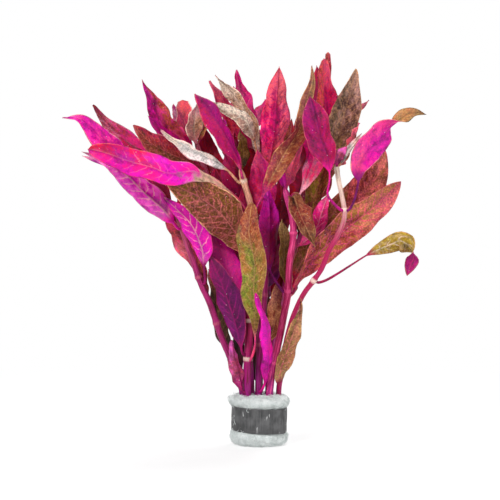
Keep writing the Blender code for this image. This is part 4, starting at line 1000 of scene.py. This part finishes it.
@lru_cache(None)
def plant_material(name):
    """A skin's material, made once: a soft gloss over a colour that some light passes through."""
    is_stem = name in STEM_SKINS
    skin = STEM_SKINS[name] if is_stem else SKINS[name]
    inputs = {label.title(): colour(value) if isinstance(value, str) else value
              for label, value in skin._asdict().items() if label != "back"}
    made, tree, shader = new_material(name if is_stem else name + "_skin")
    seen = add_node(tree, "ShaderNodeGroup", inputs, "Colour", node_tree=STEM_SKIN if is_stem else LEAF_SKIN)
    set_inputs(shader, {
        "Base Color": seen, "Roughness": seen.other("Roughness"), "Specular IOR Level": 0.28,
        "Normal": bumps(seen.other("Height"), SKIN_BUMP, SKIN_RELIEF)})
    through = add_node(tree, "ShaderNodeBsdfTranslucent", {"Color": seen})
    mix_shaders(tree, STEM_GLOW if is_stem else LEAF_GLOW, Field(shader.outputs[0]), through)
    return made


def half_width(share, leaf):
    """The leaf's half width at a share of its length: a stalk, then an oval drawn out to a tip."""
    blade = np.clip((share - leaf.petiole) / (1 - leaf.petiole), 0, 1) * leaf.cut
    rise, fall = OVAL_POWER * leaf.peak, OVAL_POWER * (1 - leaf.peak)
    oval = blade**rise * (1 - blade) ** fall / (leaf.peak**rise * (1 - leaf.peak) ** fall)
    return np.maximum(leaf.width / 2 * oval, PETIOLE_HALF_WIDTH * (1 - share) ** STALK_TAPER)


def leaf_guide(leaf, points):
    """A leaf's midrib, with what the leaf tree needs to know at each of its points."""
    length = run_along(smooth_line(points, LINE_POINTS))[-1]
    line = smooth_line(points, max(FEWEST_STATIONS, int(length / STATION_STEP)))
    run = run_along(line)
    share = run / run[-1]
    along = unit(np.gradient(line, axis=0))
    sight = unit(line - EYE)
    across = unit(np.cross(along, sight))
    facing = np.cross(across, along)
    facing *= -np.sign(np.sum(facing * sight, axis=1, keepdims=True))
    roll = np.radians(np.interp(share, np.linspace(0, 1, len(leaf.roll)), leaf.roll))[:, None]
    facing = facing * np.cos(roll) - across * np.sin(roll)
    upper = facing if leaf.face == "upper" else -facing
    half = half_width(share, leaf)
    half[[0, -1]] = 0
    blade = np.clip((share - leaf.petiole) / BLADE_OPENING, 0, 1)
    stalk = PETIOLE_HALF_WIDTH * STALK_THICKNESS * (1 - blade) * (1 - share)
    thick = BLADE_THICKNESS / 2 * blade + stalk
    return new_guide(leaf.name, line, {
        "across": np.cross(upper, along), "upper": upper, "half": half * MM,
        "thick": np.minimum(thick, half) * MM, "share": share, "run": run * MM, "blade": blade})


def make_leaf(leaf, points, seed):
    """A leaf's blade and stalk, from the first of its points to its tip."""
    skins = [plant_material(leaf.skin), plant_material(SKINS[leaf.skin].back)]
    if leaf.face == "under":
        skins.reverse()
    return grown(leaf_guide(leaf, points), LEAF_TREE, {
        **BLADE, "Points Across": max(FEWEST_ACROSS, 2 * int(leaf.width / ACROSS_STEP / 2) + 1),
        "Fold": math.radians(leaf.cup), "Wave Height": leaf.wave * MM, "Seed": float(seed),
        "Seen Right": 1.0 if leaf.face == "under" else -1.0, "Upper Skin": skins[0], "Under Skin": skins[1]})


def make_large_leaf(leaf, seed):
    """A leaf of its own, whose foot is set in its stem's side."""
    centre, along, radius = stem_at(STEMS[leaf.stem], leaf.height)
    away = placed(leaf.route[0]) - centre
    away = unit(away - along * np.dot(away, along))
    points = [centre + away * radius * FOOT_DEPTH, centre + away * (radius + GAP + SOLID_LEAF_THICKNESS)]
    dress(make_leaf(leaf, points + [placed(point) for point in leaf.route], seed), leaf.name)


def make_stem(name, seed):
    """A stem with its rings and bud, and the small leaves that are grown together with it."""
    stem = STEMS[name]
    line = stem_line(stem, STEM_POINTS)
    along = unit(line[-1] - line[-2])
    line = np.vstack([line] + [line[-1] + along * height for height in BUD_HEIGHTS])
    share = np.linspace(0, 1, len(line))
    radius = np.interp(share, (0, BUD_START, 1), (stem.radius, stem.top_radius, BUD_RADIUS))
    heights = seen_heights(line)
    ring = np.zeros(len(line))
    for height in stem.rings:
        ring = np.maximum(ring, np.exp(-(((heights - height) / RING_WIDTH) ** 2)))
    guide = new_guide("stem_" + name, line, {
        "radius_m": (radius + RING_RISE * ring) * MM, "share": share, "ring": ring,
        "run_mm": run_along(line)})
    pieces = [grown(guide, STEM_TREE, {**STEM_TUBE, "Seed": float(seed), "Skin": plant_material(stem.skin)})]
    for number, small in enumerate(SMALL_LEAVES[name]):
        leaf = Leaf(f"{name}_{number}", name, small.height, small.route, small.width, small.face,
                    (small.roll, small.roll), small.skin, cut=small.cut, wave=SMALL_LEAF_WAVE)
        points = [stem_at(stem, small.height)[0]] + [placed(point) for point in small.route]
        pieces.append(make_leaf(leaf, points, seed + SMALL_LEAF_SEED_STEP * number))
    dress(joined("stem_" + name, pieces), "stem_" + name)


def dress(piece, node):
    """Puts a finished piece in the place of the solid that it stands for."""
    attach(piece, "root")
    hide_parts(node)


def from_bmesh(name, mesh, material):
    """An object from a bmesh, in millimetres."""
    bmesh.ops.scale(mesh, vec=(MM, MM, MM), verts=mesh.verts)
    bmesh.ops.recalc_face_normals(mesh, faces=mesh.faces)
    data = bpy.data.meshes.new(name)
    mesh.to_mesh(data)
    mesh.free()
    data.shade_smooth()
    data.materials.append(material)
    return new_object(name, data)


def wrap(mesh, rings):
    """Lays faces between each ring of corners and the next. A ring of one corner is a pole."""
    steps = max(len(ring) for ring in rings)
    for low, high in zip(rings, rings[1:]):
        for k in range(steps):
            corners = (low[k % len(low)], low[(k + 1) % len(low)],
                       high[(k + 1) % len(high)], high[k % len(high)])
            mesh.faces.new(list(dict.fromkeys(corners)))


def wool_material():
    """White filter wool: matt fibres, a little grey and green in their depth."""
    made, tree, shader = new_material("wool")
    place = add_node(tree, "ShaderNodeTexCoord", output="Object")
    clouds = noise(place, 420.0, 4.0)
    fibres = noise(place * (1.0, 1.0, 2.5), 1500.0, 4.0)
    mixed = blend(clouds.rise(0.35, 0.7) * 0.6, (0.56, 0.61, 0.6, 1), (0.83, 0.86, 0.85, 1))
    mixed = blend(fibres.rise(0.4, 0.65) * 0.6, mixed, (0.92, 0.94, 0.93, 1))
    set_inputs(shader, {"Base Color": mixed, "Roughness": 0.95, "Specular IOR Level": 0.15,
                        "Normal": bumps(fibres, 0.6, 0.3)})
    return made


def lean_of_wool(height):
    """How much of the strip's tilt the wool takes: all of it at its waist, and none at its ends."""
    return min(max(min(height - 1.0, FOOT_HEIGHT - 0.8 - height) / 3.5, 0), 1)


def make_wool():
    """The roll of wool: a turned body, waisted by the strip, with lumps and loose strands."""
    low, high = STRIP_MIDDLE - STRIP_WIDTH / 2, STRIP_MIDDLE + STRIP_WIDTH / 2
    profile = [
        (0, 0.1), (9.5, 0.1), (11.5, 0.8), (13.2, 2.2), (14, 4), (13.7, low - 1),
        (WAIST_RADIUS, low - 0.2), (WAIST_RADIUS - 0.4, low + 2), (WAIST_RADIUS - 0.4, high - 2),
        (WAIST_RADIUS, high + 0.5), (14.3, high + 1.9), (14.7, high + 3.1), (14, FOOT_HEIGHT - 1.7),
        (12, FOOT_HEIGHT - 0.9), (9, FOOT_HEIGHT - 0.6), (0, FOOT_HEIGHT - 1.2),
    ]
    mesh = bmesh.new()
    rings = []
    for radius, height in profile:
        turns = [TURN * k / WOOL_SIDES for k in range(WOOL_SIDES if radius else 1)]
        rings.append([mesh.verts.new((radius * math.cos(turn), radius * math.sin(turn), height))
                      for turn in turns])
    wrap(mesh, rings)
    for corner in mesh.verts:
        corner.co.z -= corner.co.x * math.tan(STRIP_TILT) * lean_of_wool(corner.co.z)
    material = wool_material()
    body = from_bmesh("wool_wrap", mesh, material)
    rounded = body.modifiers.new("rounded", "SUBSURF")
    rounded.levels = rounded.render_levels = 2
    dress(grown(body, WOOL_TREE, {**WOOL_ROLL, "Skin": material}), "wool_wrap")


def strip_material():
    """Soft grey metal, dulled, brushed up and down, with pale scuffs."""
    made, tree, shader = new_material("strip")
    place = add_node(tree, "ShaderNodeTexCoord", output="Object")
    brushed = noise(place * (2600.0, 2600.0, 110.0), detail=3.0)
    clouds = noise(place, 240.0, 3.0)
    scuffs = noise(place * (420.0, 420.0, 160.0) + (3.0, 1.0, 6.0)).rise(0.66, 0.72)
    mixed = blend(brushed.rise(0.3, 0.7), grey(0.03, 0.031), grey(0.07, 0.071))
    mixed = blend(clouds.rise(0.35, 0.7) * 0.4, mixed, grey(0.17, 0.174))
    mixed = blend(scuffs * 0.6, mixed, grey(0.5))
    set_inputs(shader, {"Base Color": mixed, "Roughness": 0.5 + clouds * 0.2, "Metallic": 0.35,
                        "Normal": bumps(brushed + scuffs, 0.35, 0.1)})
    return made


def make_strip():
    """The metal strip, wound once round the wool's waist, with its outer end lapped over its inner one."""
    start = STRIP_END - STRIP_LAP
    turns = np.linspace(start, STRIP_END + TURN, STRIP_STATIONS)
    climb = np.clip((turns - start - TURN) / STRIP_CLIMB + 1, 0, 1)
    dents = 0.16 * np.sin(3 * turns + 0.6) + 0.1 * np.sin(7 * turns) + 0.05 * np.sin(17 * turns + 1)
    middle = WAIST_RADIUS + GAP + STRIP_THICKNESS / 2 + (STRIP_THICKNESS + GAP) * climb + dents
    corner = STRIP_THICKNESS * STRIP_ROUNDING
    reach, out = STRIP_WIDTH / 2 - corner, STRIP_THICKNESS / 2 - corner

    # Its section, as (outwards, up): four rounded corners, and points along the two wide faces.
    section = []
    for side, end, first in ((1, 1, 0), (-1, 1, 90), (-1, -1, 180), (1, -1, 270)):
        for degrees in (0, 30, 60, 90):
            angle = math.radians(first + degrees)
            section.append((side * out + corner * math.cos(angle), end * reach + corner * math.sin(angle)))
        if side != end:
            heights = np.linspace(end * reach, -end * reach, 12)[1:-1]
            section += [(side * (out + corner), up) for up in heights]
    mesh = bmesh.new()
    rings = []
    for radius, turn in zip(middle, turns):
        ring = []
        for outwards, up in section:
            bow = 0.12 * math.sin(5 * turn + up * 0.4)
            reach_out = radius + outwards + bow
            x, y = reach_out * math.cos(turn), reach_out * math.sin(turn)
            ring.append(mesh.verts.new((x, y, STRIP_MIDDLE + up - x * math.tan(STRIP_TILT))))
        rings.append(ring)
    wrap(mesh, rings)
    mesh.faces.new(rings[0])
    mesh.faces.new(rings[-1])
    dress(from_bmesh("lead_strip", mesh, strip_material()), "lead_strip")


def add_floor():
    """A wide pale floor, which turns into the pale background at its rim."""
    mesh = bmesh.new()
    bmesh.ops.create_circle(mesh, cap_ends=True, radius=FLOOR_RADIUS, segments=96)
    made, tree, shader = new_material("floor")
    set_inputs(shader, {"Base Color": grey(0.93), "Roughness": 0.9})
    place = add_node(tree, "ShaderNodeTexCoord", output="Object")
    reach = place.maths("LENGTH").other("Value")
    mix_shaders(tree, 0.6 + reach.rise(0.05, 0.4) * 0.4, Field(shader.outputs[0]),
                add_node(tree, "ShaderNodeEmission"))
    from_bmesh("floor", mesh, made)


def aimed(name, data, place, target):
    """A light or camera in its place, turned towards a point."""
    made = new_object(name, data)
    made.location = place
    made.rotation_euler = (Vector(target) - made.location).to_track_quat("-Z", "Y").to_euler()
    return made


def add_lights():
    """A pale room and three soft lights: at the front left, at the front right, and above and behind."""
    world = bpy.data.worlds.new("room")
    bpy.context.scene.world = world
    world.use_nodes = True
    tree = world.node_tree
    seen = add_node(tree, "ShaderNodeLightPath", output="Is Camera Ray")
    set_inputs(tree.nodes["Background"], {
        "Color": grey(1), "Strength": ROOM_LIGHT + seen * (1 - ROOM_LIGHT)})
    for name, (place, size, power) in LIGHTS.items():
        data = bpy.data.lights.new(name, "AREA")
        data.size = size
        data.energy = power
        aimed(name, data, place, LIGHTS_AIM)


def add_camera():
    data = bpy.data.cameras.new("camera")
    data.lens = LENS
    data.sensor_width = SENSOR_WIDTH
    data.clip_start = 0.01
    bpy.context.scene.camera = aimed("camera", data, EYE * MM, Vector(AIM) * MM)


LEAF_TREE = leaf_tree()
STEM_TREE = stem_tree()
WOOL_TREE = wool_tree()
LEAF_SKIN = leaf_skin_group()
STEM_SKIN = stem_skin_group()

bpy.context.scene.view_settings.view_transform = "Standard"
add_camera()
add_lights()
add_floor()
make_wool()
make_strip()
for number, stem_name in enumerate(STEMS):
    make_stem(stem_name, STEM_SEED + number)
for number, large_leaf in enumerate(LEAVES):
    make_large_leaf(large_leaf, LEAF_SEED_STEP * number)
